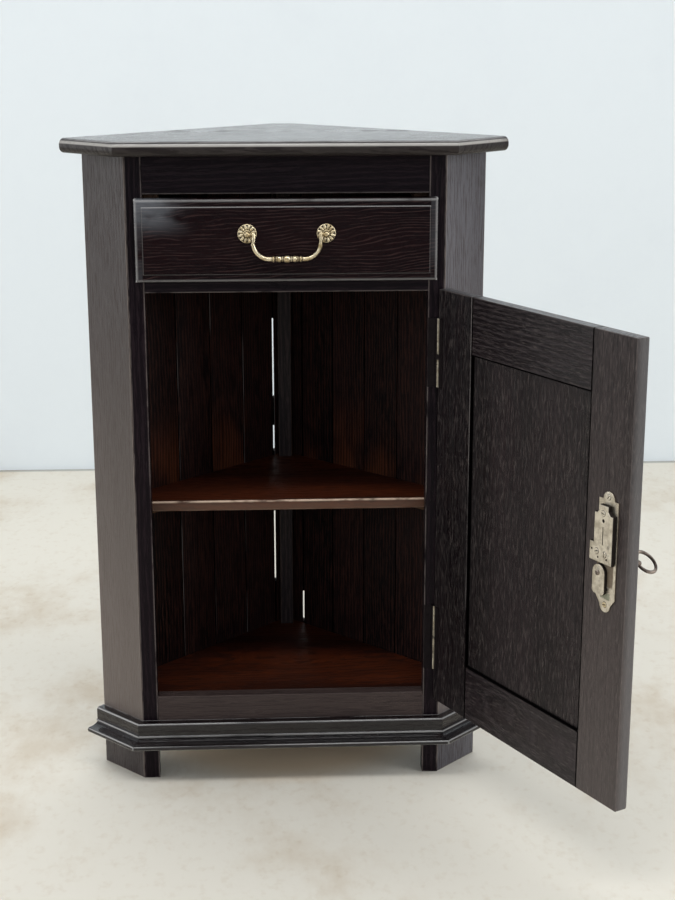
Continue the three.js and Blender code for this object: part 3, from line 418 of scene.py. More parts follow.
@dataclass(frozen=True)
class Oak:
    """Oak with open pores, under stain and varnish."""

    name: str
    dark: Colour
    light: Colour
    # Colour of the pore streaks; where it is lighter than the wood, it is a painted reflection off the pores
    streak: Colour
    # Colour of dust and wear, and also of painted highlights and painted bounce light
    wear_and_sheen: Colour
    roughness: float
    gloss: float = 0.5
    varnish: float = 0.0
    coat_roughness: float = 0.2
    polished_face: bool = False
    polish_depth: Pair = (5 * MM, 3 * MM)
    # The figure
    ring_width: float = 6.5 * MM
    band_share: float = 0.3
    crown_depth: float = 62 * MM
    crown_taper: float = 0.03
    slant: float = 0.005
    ripple: Point = (7, 60, 60)
    ripple_depth: float = 6 * MM
    # The open pores, whose streaks, where lighter than the wood, are painted reflections off the pores
    coarse: float = 560
    line_power: float = 2
    line_share: float = 0.16
    line_levels: Pair = (0.54, 0.68)
    streak_share: float = 0.8
    pore_share: float = 0.4
    relief: float = 0.25 * MM
    # Wear and painted highlights along the arrises, and a painted highlight along the ridge of a fielded border
    arris: float = 0.2 * MM
    wear_sheen_width: float = 2.2 * MM
    wear_sheen_levels: Pair = (0.3, 0.56)
    wear_sheen_share: float = 0.6
    upper_lit: bool = False
    crested: bool = False
    border: float = 0.0
    ridge_half: Pair = (0.3 * MM, 0.9 * MM)
    ridge_rise: float = 2 * MM
    # Seams, the painted glint beside one, and edges that carry painted light
    seam: Colour = shade(4, 2, 3)
    seam_width: float = 0.9 * MM
    seam_share: float = 0.9
    glint: Colour = shade(128, 122, 120)
    glint_width: float = 1.2 * MM
    glint_edge: float = 0.6 * MM
    glint_share: float = 0.0
    # Colour of the painted light on lit edges
    edge_light: Colour = shade(112, 111, 112)
    edge_light_reach: Pair = (1.6 * MM, 0.5 * MM)
    edge_light_share: float = 0.42
    # Dust, painted reflections in the polish, painted bounce light towards the foot and a painted glow of light
    # bounced off a shelf
    dust_rate: Point = (90, 620, 620)
    dust_share: float = 0.0
    # Colour of the painted reflections in the polish
    reflection_cloud: Colour = shade(126, 130, 136)
    reflection_ends: Pair = (80 * MM, 16 * MM)
    reflection_share: float = 0.0
    # Painted bounce light, paler towards the foot
    bounce_end: float = 0.0
    bounce_rise: float = 6 * MM
    bounce_share: float = 0.0
    # Colour of the painted glow of light bounced off a shelf
    glow_colour: Colour = shade(116, 62, 32)
    glow_height: float = 0.0
    glow_rise: float = 2 * MM
    glow_fade: Pair = (10 * MM, 110 * MM)
    glow_share: float = 0.42

    def rings(self, graph: Graph, board: Board, place: Value) -> Value:
        """Gives the distance from the heart of the log, which the rings follow.

        Args:
            graph: The material's graph.
            board: The board.
            place: The place in the board.

        Returns:
            The distance, in metres.
        """
        along, across, through = graph.split(place)
        sway = graph.noise(place, (2.4, 11, 11), board.seed, 3) - 0.5
        drift = graph.noise(place, self.ripple, board.seed + 7, 2) - 0.5
        if board.figure is Figure.STRAIGHT:
            return across * 0.9 + through * 0.4 - along * self.slant + sway * 0.02 + drift * self.ripple_depth
        offset = (math.fmod(board.seed * 0.618, 1) - 0.5) * board.half.y
        sideways = across - offset + sway * 0.03
        inwards = through + (self.crown_depth - board.half.z)
        spread = sideways * sideways + inwards * inwards
        return spread**0.5 + along * self.crown_taper + drift * (self.ripple_depth * 1.5)

    def edges(self, graph: Graph, board: Board, place: Value) -> Value:
        """Finds the strips along a board's arrises, where wear and painted highlights lighten it.

        Args:
            graph: The material's graph.
            board: The board.
            place: The place in the board.

        Returns:
            How much wear and painted highlight the place has, from 0 to 1.
        """
        parts = graph.split(place)
        near = [
            abs(part).eased(half - self.wear_sheen_width, half - self.arris) for part, half in zip(parts, board.half)
        ]
        strips = (near[0] * near[1]).larger(near[1] * near[2]).larger(near[0] * near[2])
        wear_and_sheen = graph.noise(place, (30, 60, 60), board.seed + 3, 3, 0.6).eased(*self.wear_sheen_levels)
        # Painted light: the upper arrises are brighter
        if self.upper_lit:
            wear_and_sheen = wear_and_sheen * (parts[2].eased(0.0, board.half.z * 0.6) * 0.85 + 0.15)
        # Painted highlight along the ridge of the fielded border, brighter along the upper border
        if self.border:
            insets = [half - abs(part) for part, half in zip(parts[:2], board.half)]
            ridge = 1 - abs(insets[0].smaller(insets[1]) - self.border).eased(*self.ridge_half)
            level = board.half.y - self.border
            upper = (parts[1] * board.upward).eased(level - self.ridge_rise, level)
            return wear_and_sheen * strips + ridge * (upper * 0.35 + 0.15) * (1 - strips)
        return strips * wear_and_sheen

    def strips(
        self, graph: Graph, board: Board, place: Value, edges: Sequence[Edge], start: float, end: float
    ) -> Value:
        """Finds the strips along some of a board's edges.

        Args:
            graph: The material's graph.
            board: The board.
            place: The place in the board.
            edges: The edges.
            start: How far from the edge a strip starts.
            end: How far from the edge it is full.

        Returns:
            How much of a strip there is, from 0 to 1.
        """
        parts = graph.split(place)
        line = graph.maths("MULTIPLY", parts[0], 0)
        for edge in edges:
            axis, side = edge.value
            half = board.half[axis]
            line = line.larger((parts[axis] * side).eased(half - start, half - end))
        return line

    def painted_reflection(self, graph: Graph, board: Board, place: Value) -> Value:
        """Finds the painted reflections in the polish, in one upper corner and in the border at the ends.

        Args:
            graph: The material's graph.
            board: The board.
            place: The place in the board.

        Returns:
            How strong the painted reflection is, from 0 to 1.
        """
        along, across, _ = graph.split(place)
        end = (along * -1).eased(*(board.half.x - inset for inset in self.reflection_ends))
        high = (across * board.upward).eased(0.0, board.half.y * 0.7)
        rim = abs(along).eased(board.half.x - self.border, board.half.x - self.border * 0.8)
        reflection_cloud = graph.noise(place, (16, 30, 30), board.seed + 29, 4).eased(0.28, 0.56)
        return reflection_cloud * (end * high).larger(rim * 0.25)

    def grain(self, graph: Graph, board: Board, place: Value) -> tuple[Value, Value, Value]:
        """Finds the year rings and the pores that lie along them.

        Args:
            graph: The material's graph.
            board: The board.
            place: The place in the board.

        Returns:
            The bands, the coarse streaks and the fine pores, from 0 to 1.
        """
        rings = self.rings(graph, board, place)
        band = (rings * (FULL_TURN / self.ring_width)).wave()
        along, _, through = graph.split(place)
        flow = graph.node("ShaderNodeCombineXYZ", inputs={0: along, 1: rings, 2: through * 0.3})
        broken = graph.noise(flow, (38, self.coarse, 260), board.seed + 11, 3, 0.6)
        streaks = (band**self.line_power * self.line_share + broken).eased(*self.line_levels)
        pores = graph.noise(flow, (110, 1500, 900), board.seed + 13, 1).eased(0.5, 0.64)
        return band, streaks, pores

    def dust_and_light(self, graph: Graph, board: Board, place: Value, colour: Value) -> Value:
        """Lays dust, painted reflections and painted bounce light towards the foot over the wood.

        Args:
            graph: The material's graph.
            board: The board.
            place: The place in the board.
            colour: The wood's colour.

        Returns:
            The colour with them.
        """
        if self.dust_share:
            dust = graph.noise(place, self.dust_rate, board.seed + 23, 2).eased(0.5, 0.74)
            colour = graph.blend(dust * self.dust_share, colour, self.wear_and_sheen)
        # Painted reflections in the polish
        if self.reflection_share:
            reflected = self.painted_reflection(graph, board, place) * self.reflection_share
            colour = graph.blend(reflected, colour, self.reflection_cloud)
        # Painted bounce light, paler towards the foot
        if self.bounce_share:
            along = graph.split(place)[0]
            low = 1 - along.eased(-board.half.x, board.half.x)
            low = low * (along + (board.middle.x - self.bounce_end)).eased(-self.bounce_rise, 0.0)
            colour = graph.blend(low * self.bounce_share, colour, self.wear_and_sheen)
        return colour

    def shelf_glow(self, graph: Graph, board: Board, place: Value, band: Value, patches: Value) -> Value:
        """Finds the painted glow of light bounced off a shelf onto the boards above it.

        Args:
            graph: The material's graph.
            board: The board.
            place: The place in the board.
            band: The bands of the year rings.
            patches: Broad noise.

        Returns:
            How strong the painted glow is, from 0 to 1.
        """
        along, _, through = graph.split(place)
        height = along + (board.middle.x - self.glow_height)
        inner = through.eased(0.0, board.half.z * 0.5)
        glow = height.eased(-self.glow_rise, 0.0) * (1 - height.eased(*self.glow_fade)) * patches.eased(0.48, 0.6)
        return glow * inner * (band * 0.7 + 0.3)

    def material(self, board: Board, name: str) -> bpy.types.Material:
        """Makes the wood of one board.

        Args:
            board: The board.
            name: The board's name.

        Returns:
            The material.
        """
        material = bpy.data.materials.new(f"{self.name}_{name}")
        graph = Graph(material)
        place = board.place(graph)
        through = graph.split(place)[2]
        band, streaks, pores = self.grain(graph, board, place)
        tone = graph.noise(place, (1.6, 14, 14), board.seed + 17, 3).eased(0.32, 0.68)
        patches = graph.noise(place, (5, 9, 9), board.seed + 19, 3)
        wear_and_sheen = self.edges(graph, board, place)
        # Painted highlights along the crests
        if self.crested:
            wear_and_sheen = wear_and_sheen.larger(patina_and_light(graph) * patches.eased(0.3, 0.5))
        seam = self.strips(graph, board, place, board.seams, self.seam_width, self.seam_width * 0.6)
        colour = graph.blend(tone * (1 - self.band_share) + band * self.band_share, self.dark, self.light)
        # Pore streaks: grain, and where they are lighter, painted reflections off the pores
        colour = graph.blend(streaks * self.streak_share, colour, self.streak)
        colour = graph.blend(pores * self.pore_share, colour, self.dark)
        colour = self.dust_and_light(graph, board, place, colour)
        # Painted glow of light bounced off the shelf
        if self.glow_height:
            glow = self.shelf_glow(graph, board, place, band, patches) * self.glow_share
            colour = graph.blend(glow, colour, self.glow_colour)
        # Painted light along the lit edges, weaker towards the face
        if board.lit_edges:
            pale = self.strips(graph, board, place, board.lit_edges, *self.edge_light_reach)
            pale = pale * (1 - through.eased(0.0, board.half.z) * 0.8)
            colour = graph.blend(pale * self.edge_light_share, colour, self.edge_light)
        # Wear and painted highlights along the arrises
        colour = graph.blend(wear_and_sheen * self.wear_sheen_share, colour, self.wear_and_sheen)
        colour = graph.blend(seam * self.seam_share, colour, self.seam)
        # Painted glint beside the last seam
        if self.glint_share:
            reach = self.seam_width + self.glint_width
            beside = self.strips(graph, board, place, board.seams[-1:], reach, reach - self.glint_edge)
            glint = beside * (1 - seam) * graph.noise(place, (6, 3, 3), board.seed + 31, 3).eased(0.44, 0.58)
            colour = graph.blend(glint * self.glint_share, colour, self.glint)
        roughness = patches * 0.24 + streaks * 0.12 + seam * 0.4 + (self.roughness - 0.12) - wear_and_sheen * 0.06
        height = 1 - (streaks * 0.5 + pores * 0.5)
        coat = (1 - streaks * 0.45 - pores * 0.2) * self.varnish
        if self.polished_face:
            coat = coat * (through.eased(*(board.half.z - depth for depth in self.polish_depth)) * 0.9 + 0.1)
        graph.finish(graph.node("ShaderNodeBsdfPrincipled", inputs={
            "Base Color": colour,
            "Metallic": seam * 0.95,
            "Roughness": roughness,
            "Specular IOR Level": self.gloss,
            "Coat Weight": coat,
            "Coat Roughness": self.coat_roughness,
            "Normal": graph.bump(height, self.relief, 0.7),
        }))
        return material


@dataclass(frozen=True)
class Metal:
    """A metal that has dulled with age."""

    name: str
    bright: Colour
    dull: Colour
    # Colour of dirt and patina, and of painted shade where a mask asks for it
    stain: Colour
    roughness: float
    rate: float = 90
    stain_share: float = 0.5
    relief: float = 0.04 * MM
    crust: Colour = shade(122, 126, 104)

    def material(
        self,
        patina_and_light_at: Callable[[Graph], Value] | None = None,
        bloom: Callable[[Graph], Value] | None = None,
    ) -> bpy.types.Material:
        """Makes the metal.

        Args:
            patina_and_light_at: Finds what the stain darkens: dirt and oxide, and painted shade in the recesses and
                on the sides of some pieces.
            bloom: Finds the green crust.

        Returns:
            The material.
        """
        material = bpy.data.materials.new(self.name)
        graph = Graph(material)
        place = graph.place()
        rate = (self.rate, self.rate, self.rate)
        tarnish = graph.noise(place, rate, 3, 5, 0.62).eased(0.36, 0.66)
        soil_and_shade = graph.noise(place, rate, 11, 4, 0.65).eased(0.6, 0.74) * self.stain_share
        # Dirt, patina and painted shade from the piece's mask
        if patina_and_light_at:
            soil_and_shade = soil_and_shade.larger(patina_and_light_at(graph))
        colour = graph.blend(tarnish, self.bright, self.dull)
        colour = graph.blend(soil_and_shade, colour, self.stain)
        if bloom:
            crusted = bloom(graph)
            colour = graph.blend(crusted, colour, self.crust)
            soil_and_shade = soil_and_shade.larger(crusted)
        scratches = graph.noise(place, (900, 900, 120), 5, 2)
        graph.finish(graph.node("ShaderNodeBsdfPrincipled", inputs={
            "Base Color": colour,
            "Metallic": 1 - soil_and_shade,
            "Specular IOR Level": 0.15,
            "Roughness": tarnish * 0.14 + soil_and_shade * 0.24 + scratches * 0.08 + self.roughness,
            "Normal": graph.bump(scratches + tarnish, self.relief, 0.5),
        }))
        return material


@dataclass(frozen=True)
class Plain:
    """The plain paint of the floor or the wall, with faint blotches, a painted warm bounce of light under the
    cupboard and a painted shade line along the foot of the wall.
    """

    name: str
    colour: Colour
    blotch: Colour
    share: float
    one_sided: bool = False
    # Colour of the painted shade line where the floor meets the wall
    seam: Colour = shade(120, 124, 124)
    seam_depth: float | None = None
    seam_fade: Pair = (22 * MM, 8 * MM)
    # Painted warm bounce of light in the shadow under the cupboard
    warm_bounce: Colour | None = None
    warm_bounce_middle: Pair = (-68 * MM, 150 * MM)
    warm_bounce_reach: Pair = (100 * MM, 170 * MM)

    def material(self) -> bpy.types.Material:
        """Makes the paint.

        Returns:
            The material.
        """
        material = bpy.data.materials.new(self.name)
        graph = Graph(material)
        place = graph.place()
        broad = graph.noise(place, (3.4, 2.1, 3.1), 1, 6, 0.66).eased(0.47, 0.7)
        speckle = graph.noise(place, (85, 60, 85), 2, 3).eased(0.5, 0.8)
        colour = graph.blend((broad * 0.8 + speckle * 0.3) * self.share, self.colour, self.blotch)
        # Painted warm bounce of light under the cupboard
        if self.warm_bounce:
            across, ahead = [part - middle for part, middle in zip(graph.split(place), self.warm_bounce_middle)]
            reach = (across * across * 0.6 + ahead * ahead) ** 0.5
            colour = graph.blend(1 - reach.eased(*self.warm_bounce_reach), colour, self.warm_bounce)
        # Painted shade line along the foot of the wall
        if self.seam_depth:
            seam = graph.split(place)[1].eased(*(self.seam_depth - inset for inset in self.seam_fade))
            colour = graph.blend(seam * 0.6, colour, self.seam)
        paint = graph.node("ShaderNodeBsdfPrincipled", inputs={
            "Base Color": colour, "Roughness": 0.75, "Specular IOR Level": 0.15,
        })
        if self.one_sided:
            back = graph.node("ShaderNodeNewGeometry", output="Backfacing")
            clear = graph.node("ShaderNodeBsdfTransparent")
            paint = graph.node("ShaderNodeMixShader", inputs={0: back, 1: paint, 2: clear})
        graph.finish(paint)
        return material


@dataclass(frozen=True)
class Finishes:
    """Every finish on the cupboard."""

    outside: Oak = Oak(
        "dark_oak", shade(6, 2, 7), shade(18, 9, 15), shade(38, 27, 32), shade(120, 110, 106), 0.3,
        gloss=0.1, streak_share=0.45,
    )
    # Bottom rail: lighter than the other rails, with a painted reflection of the floor
    low_rail: Oak = Oak(
        "low_oak", shade(56, 46, 44), shade(74, 62, 59), shade(34, 24, 24), shade(110, 98, 94), 0.3,
        gloss=0.2, streak_share=0.5, wear_sheen_share=0.15,
    )
    # Moulding: painted highlight lines along its crests
    moulding: Oak = Oak(
        "moulding_oak", shade(6, 2, 4), shade(18, 10, 12), shade(36, 27, 27), shade(158, 156, 154), 0.16,
        gloss=0.2, varnish=0.8, streak_share=0.4, crested=True, coat_roughness=0.1,
    )
    # Top: a painted highlight along the rounded front edge
    top: Oak = Oak(
        "top_oak", shade(30, 25, 24), shade(50, 44, 42), shade(20, 12, 12), shade(190, 186, 180), 0.32,
        gloss=0.2, varnish=1.0, streak_share=0.9, polished_face=True, crested=True,
    )
    # Drawer front: wear and painted highlights on the arrises, a painted highlight along the ridge, and painted
    # reflections in the polish
    drawer: Oak = Oak(
        "drawer_oak", shade(4, 1, 4), shade(22, 8, 10), shade(62, 42, 40), shade(182, 180, 178), 0.24,
        gloss=0.1, ring_width=3.8 * MM, streak_share=0.42, band_share=0.1, wear_sheen_share=0.8, wear_sheen_width=4.4 * MM,
        wear_sheen_levels=(0.05, 0.5), border=9.6 * MM, reflection_share=0.42, line_power=3, line_share=0.26,
        line_levels=(0.62, 0.84), slant=0.06, ripple=(11, 28, 28), ripple_depth=16 * MM,
    )
    # Canted sides: the wood colour is lifted with a painted sheen, with painted bounce light towards the foot
    cant: Oak = Oak(
        "cant_oak", shade(58, 53, 53), shade(82, 76, 75), shade(42, 28, 26), shade(132, 120, 112), 0.4,
        gloss=0.3, ring_width=4 * MM, streak_share=0.7, band_share=0.25, bounce_share=0.45, bounce_end=58 * MM,
        coarse=900,
    )
    door: Oak = Oak(
        "door_oak", shade(12, 6, 9), shade(32, 22, 25), shade(7, 3, 5), shade(112, 102, 98), 0.3,
        gloss=0.3, streak_share=0.6, band_share=0.2, wear_sheen_width=1.2 * MM, wear_sheen_share=0.3, dust_share=0.42,
        seam_width=2.4 * MM, seam_share=1.0,
    )
    # Inside: a painted glint beside each board's seam
    inside: Oak = Oak(
        "inner_oak", shade(2, 1, 2), shade(25, 12, 12), shade(84, 50, 40), shade(104, 70, 48), 0.5,
        gloss=0.15, wear_sheen_share=0.0, band_share=0.2, streak_share=0.36, seam_width=1.3 * MM, seam_share=1.0,
        ring_width=4.5 * MM, coarse=800, glint_share=0.6,
    )
    post: Oak = Oak(
        "post_oak", shade(12, 8, 10), shade(34, 26, 28), shade(66, 54, 52), shade(80, 64, 54), 0.5,
        gloss=0.15, wear_sheen_share=0.3, streak_share=0.5,
    )
    # Shelves: the upper arrises are brighter with painted highlights, and the front edge carries painted light
    shelves: Oak = Oak(
        "shelf_oak", shade(30, 10, 5), shade(86, 37, 15), shade(18, 6, 4), shade(226, 200, 176), 0.42,
        gloss=0.25, wear_sheen_share=0.95, wear_sheen_width=3.4 * MM, streak_share=0.6, band_share=0.2, upper_lit=True,
        edge_light=shade(112, 86, 70),
    )
    raw: Oak = Oak(
        "raw_oak", shade(66, 43, 29), shade(100, 72, 50), shade(48, 30, 20), shade(126, 98, 72), 0.62,
        gloss=0.3, wear_sheen_share=0.2, streak_share=0.6,
    )
    brass: Metal = Metal("old_brass", shade(230, 216, 184), shade(170, 150, 112), shade(34, 24, 16), 0.2)
    nickel: Metal = Metal("lock_nickel", shade(226, 218, 202), shade(186, 176, 158), shade(34, 28, 24), 0.34)
    iron: Metal = Metal("key_iron", shade(146, 134, 124), shade(92, 80, 74), shade(40, 32, 28), 0.3)
    steel: Metal = Metal("hinge_steel", shade(206, 198, 180), shade(150, 138, 118), shade(15, 8, 10), 0.34)


@dataclass(frozen=True)
class Datum:
    """Where the cupboard's own plan and its door lie among the solids."""

    open_angle: float = math.radians(118)
    corner_half: float = 196 * MM

    @property
    def plan(self) -> Matrix:
        """Gives the place of the cupboard's plan, from the ends and front of its bottom rail."""
        low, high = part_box("bottom_rail")
        return Matrix.Translation(((low.x + high.x) / 2, low.y, 0))

    @property
    def pin(self) -> Matrix:
        """Gives the place of the door's hinge pin."""
        hinge = next(joint for joint in frame["joints"] if joint["name"] == "door_hinge")
        return Matrix.Translation(Vector(hinge["pos_m"]))

    @property
    def door(self) -> Matrix:
        """Gives the place and turn of the open door, with the pin as its origin."""
        return self.pin @ Matrix.Rotation(self.open_angle, 4, "Z")

    def cant(self, sign: int) -> Matrix:
        """Gives the place and turn of one canted side.

        Args:
            sign: -1 for the left side and 1 for the right.

        Returns:
            The frame whose x runs along the cant and whose -y looks out.
        """
        corner = Matrix.Translation((sign * self.corner_half, 0, 0))
        return self.plan @ corner @ Matrix.Rotation(sign * EIGHTH_TURN, 4, "Z")


DATUM = Datum()
X, Y, Z = Vector((1, 0, 0)), Vector((0, 1, 0)), Vector((0, 0, 1))


def verts_of(made: Iterable[object]) -> list[bmesh.types.BMVert]:
    """Picks the vertices out of what an operator has made."""
    return [item for item in made if isinstance(item, bmesh.types.BMVert)]


def edges_at(verts: Iterable[bmesh.types.BMVert]) -> list[bmesh.types.BMEdge]:
    """Lists the edges that meet some vertices, each once."""
    return list(dict.fromkeys(edge for vert in verts for edge in vert.link_edges))


class Workpiece:
    """A mesh in the making."""

    def __init__(self) -> None:
        """Starts an empty mesh."""
        self.mesh = bmesh.new()
        # Per-vertex mask: patina and painted shade in hollows, painted highlights on crests
        self.patina_and_light_at: Callable[[Vector], float] | None = None

    def added(self, known: set[bmesh.types.BMVert]) -> list[bmesh.types.BMVert]:
        """Lists the vertices that an operator has made.

        Args:
            known: The vertices from before it.

        Returns:
            The new vertices.
        """
        return [vert for vert in self.mesh.verts if vert not in known]

    def turn(self, profile: Sequence[Pair], steps: int = 40, at: Matrix | None = None) -> None:
        """Turns a profile about Z.

        Args:
            profile: Points of radius and height, in order.
            steps: How many flats the round has.
            at: Where the piece goes.
        """
        known = set(self.mesh.verts)
        verts = [self.mesh.verts.new((radius, 0, height)) for radius, height in profile]
        edges = [self.mesh.edges.new(pair) for pair in zip(verts, verts[1:])]
        bmesh.ops.spin(
            self.mesh, geom=verts + edges, cent=(0, 0, 0), axis=(0, 0, 1), angle=FULL_TURN, steps=steps,
            use_merge=True,
        )
        new = self.added(known)
        bmesh.ops.remove_doubles(self.mesh, verts=new, dist=MERGE_DISTANCE)
        bmesh.ops.transform(self.mesh, matrix=at or Matrix.Identity(4), verts=self.added(known))

    def slab(self, outline: Sequence[Point], rise: Vector) -> None:
        """Raises a flat outline into a slab.

        Args:
            outline: The corners of the outline, in order.
            rise: How far and which way it rises.
        """
        face = self.mesh.faces.new([self.mesh.verts.new(corner) for corner in outline])
        raised = verts_of(bmesh.ops.extrude_face_region(self.mesh, geom=[face])["geom"])
        bmesh.ops.translate(self.mesh, verts=raised, vec=rise)

    def ball(self, size: Point, at: Matrix, steps: int = 20) -> None:
        """Adds an ellipsoid.

        Args:
            size: Its half sizes.
            at: Where it goes.
            steps: How many flats it has round it.
        """
        shape = at @ Matrix.Diagonal((*size, 1))
        bmesh.ops.create_uvsphere(self.mesh, u_segments=steps, v_segments=steps // 2, radius=1, matrix=shape)

    def tube(self, stations: Sequence[tuple[Vector, float]], flats: int = 20) -> None:
        """Sweeps a round section along a line.

        Args:
            stations: The line's points with the section's radius at each.
            flats: How many flats the section has.
        """
        points = [point for point, radius in stations]
        frames = []
        for index, (point, radius) in enumerate(stations):
            before, after = points[max(index - 1, 0)], points[min(index + 1, len(points) - 1)]
            heading = (after - before).normalized().to_track_quat("Z", "Y").to_matrix().to_4x4()
            frames.append(Matrix.Translation(point) @ heading @ Matrix.Scale(radius, 4))
        ring = bmesh.ops.create_circle(self.mesh, segments=flats, radius=1, cap_ends=True, matrix=frames[0])
        edges = edges_at(ring["verts"])
        for earlier, later in zip(frames, frames[1:]):
            made = bmesh.ops.extrude_edge_only(self.mesh, edges=edges)["geom"]
            edges = [item for item in made if isinstance(item, bmesh.types.BMEdge)]
            bmesh.ops.transform(self.mesh, matrix=later @ earlier.inverted(), verts=verts_of(made))
        bmesh.ops.contextual_create(self.mesh, geom=edges)

    def soften(self, width: float, segments: int, chosen: Callable[[bmesh.types.BMEdge], bool]) -> None:
        """Rounds some of the edges.

        Args:
            width: How wide the rounding is.
            segments: How many flats it has.
            chosen: Says whether an edge is rounded.
        """
        edges = [edge for edge in self.mesh.edges if chosen(edge)]
        bmesh.ops.bevel(
            self.mesh, geom=edges, offset=width, segments=segments, profile=0.5, affect="EDGES", material=-1
        )

    def finish(
        self,
        name: str,
        body: Body,
        slot: Slot,
        replaces: Sequence[str] = (),
        at: Matrix | None = None,
        crease: float = 35,
    ) -> bpy.types.Object:
        """Turns the mesh into a piece of the cupboard.

        Args:
            name: The piece's name.
            body: The body it moves with.
            slot: The slot that its finish stands for; not used.
            replaces: The solids that it stands for.
            at: Where it goes.
            crease: The angle in degrees above which an edge stays sharp.

        Returns:
            The piece.
        """
        bmesh.ops.remove_doubles(self.mesh, verts=self.mesh.verts, dist=MERGE_DISTANCE)
        bmesh.ops.recalc_face_normals(self.mesh, faces=self.mesh.faces)
        if self.patina_and_light_at:
            layer = self.mesh.verts.layers.float.new(PATINA_AND_LIGHT)
            for vert in self.mesh.verts:
                vert[layer] = self.patina_and_light_at(vert.co)
        bmesh.ops.transform(self.mesh, matrix=at or DATUM.plan, verts=self.mesh.verts)
        data = bpy.data.meshes.new(name)
        self.mesh.to_mesh(data)
        self.mesh.free()
        data.shade_smooth()
        data.set_sharp_from_angle(angle=math.radians(crease))
        piece = bpy.data.objects.new(name, data)
        bpy.context.scene.collection.objects.link(piece)
        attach(piece, body.value)
        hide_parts(*replaces)
        LOG.info("%s: %d faces, moves with the %s", name, len(data.polygons), body.value)
        return piece


def paint(piece: bpy.types.Object, material: bpy.types.Material) -> None:
    """Gives a piece one material.

    Args:
        piece: The piece.
        material: Its material.
    """
    piece.data.materials.clear()
    piece.data.materials.append(material)


def panel_wood(piece: bpy.types.Object, finish: Oak, board: Board) -> None:
    """Gives a piece its wood.

    Args:
        piece: The piece.
        finish: The wood's finish.
        board: How the wood runs in it.
    """
    measured = board.measured([vert.co for vert in piece.data.vertices])
    paint(piece, finish.material(measured, piece.name))


def dress_board(node: str, finish: Oak, board: Board, arris: float = 0.6 * MM) -> None:
    """Gives a solid its wood and softens its arrises.

    Args:
        node: The solid's name.
        finish: The wood's finish.
        board: How the wood runs in it.
        arris: How wide the wear that rounds its arrises is.
    """
    piece = frame["nodes"][node]
    soften_solid(piece, arris)
    panel_wood(piece, finish, board)
    LOG.info("%s: solid dressed in %s", node, finish.name)


def soften_solid(piece: bpy.types.Object, width: float, limit: float = ARRIS_LIMIT) -> None:
    """Rounds a solid's edges with modifiers, which leave its own mesh as it is.

    Args:
        piece: The solid.
        width: How wide the rounding is.
        limit: The angle in degrees above which an edge is rounded.
    """
    weld = piece.modifiers.new("Weld", "WELD")
    weld.merge_threshold = MERGE_DISTANCE
    flats = piece.modifiers.new("Flats", "DECIMATE")
    flats.decimate_type = "DISSOLVE"
    flats.angle_limit = math.radians(0.5)
    bevel = piece.modifiers.new("Arris", "BEVEL")
    bevel.limit_method = "ANGLE"
    bevel.angle_limit = math.radians(limit)
    bevel.width = width
    bevel.segments = 2
    bevel.profile = 0.5


def dress_metal(node: str, metal: bpy.types.Material, width: float, limit: float = ARRIS_LIMIT) -> None:
    """Gives a solid its metal and rounds its edges.

    Args:
        node: The solid's name.
        metal: Its material.
        width: How wide the rounding is.
        limit: The angle in degrees above which an edge is rounded.
    """
    piece = frame["nodes"][node]
    soften_solid(piece, width, limit)
    paint(piece, metal)
    LOG.info("%s: solid dressed in %s", node, metal.name)


@dataclass
class SubAssembly:
    """Some pieces of the cupboard that belong together."""

    finishes: Finishes

    def build(self) -> None:
        """Makes and dresses the pieces."""
        raise NotImplementedError


@dataclass
class TopBoard(SubAssembly):
    """The top board, whose front and canted edges are rounded and whose wall edges are sawn square."""

    low: float = 822 * MM
    thickness: float = 18 * MM
    overhang: float = 38 * MM
    front_half: float = 206.083 * MM
    outer_half: float = 276.042 * MM
    outer_depth: float = 31.958 * MM
    corner_half: float = 14 * MM
    corner_depth: float = 294 * MM
    rounding: float = 7.9 * MM

    def build(self) -> None:
        """Makes and dresses the board."""
        board = Workpiece()
        half = [
            (self.front_half, -self.overhang),
            (self.outer_half, self.outer_depth),
            (self.corner_half, self.corner_depth),
        ]
        plan = half + [(-x, y) for x, y in reversed(half)]
        board.slab([(x, y, self.low) for x, y in plan], self.thickness * Z)
        limit = self.outer_depth + MM
        board.soften(self.rounding, 10, lambda edge: (
            all(vert.co.y < limit for vert in edge.verts) and abs(edge.verts[0].co.z - edge.verts[1].co.z) < MM
        ))
        # Painted highlight along the middle of the rounded edge
        crest = self.low + self.thickness - self.rounding / 2
        board.patina_and_light_at = lambda co: float(abs(co.z - crest) < self.rounding * 0.2)
        piece = board.finish("top_board_wood", Body.CABINET, Slot.DARK_OAK, ["top_board"], crease=30)
        panel_wood(piece, self.finishes.top, Board(X, Z, Figure.CROWN, seed=4.2))


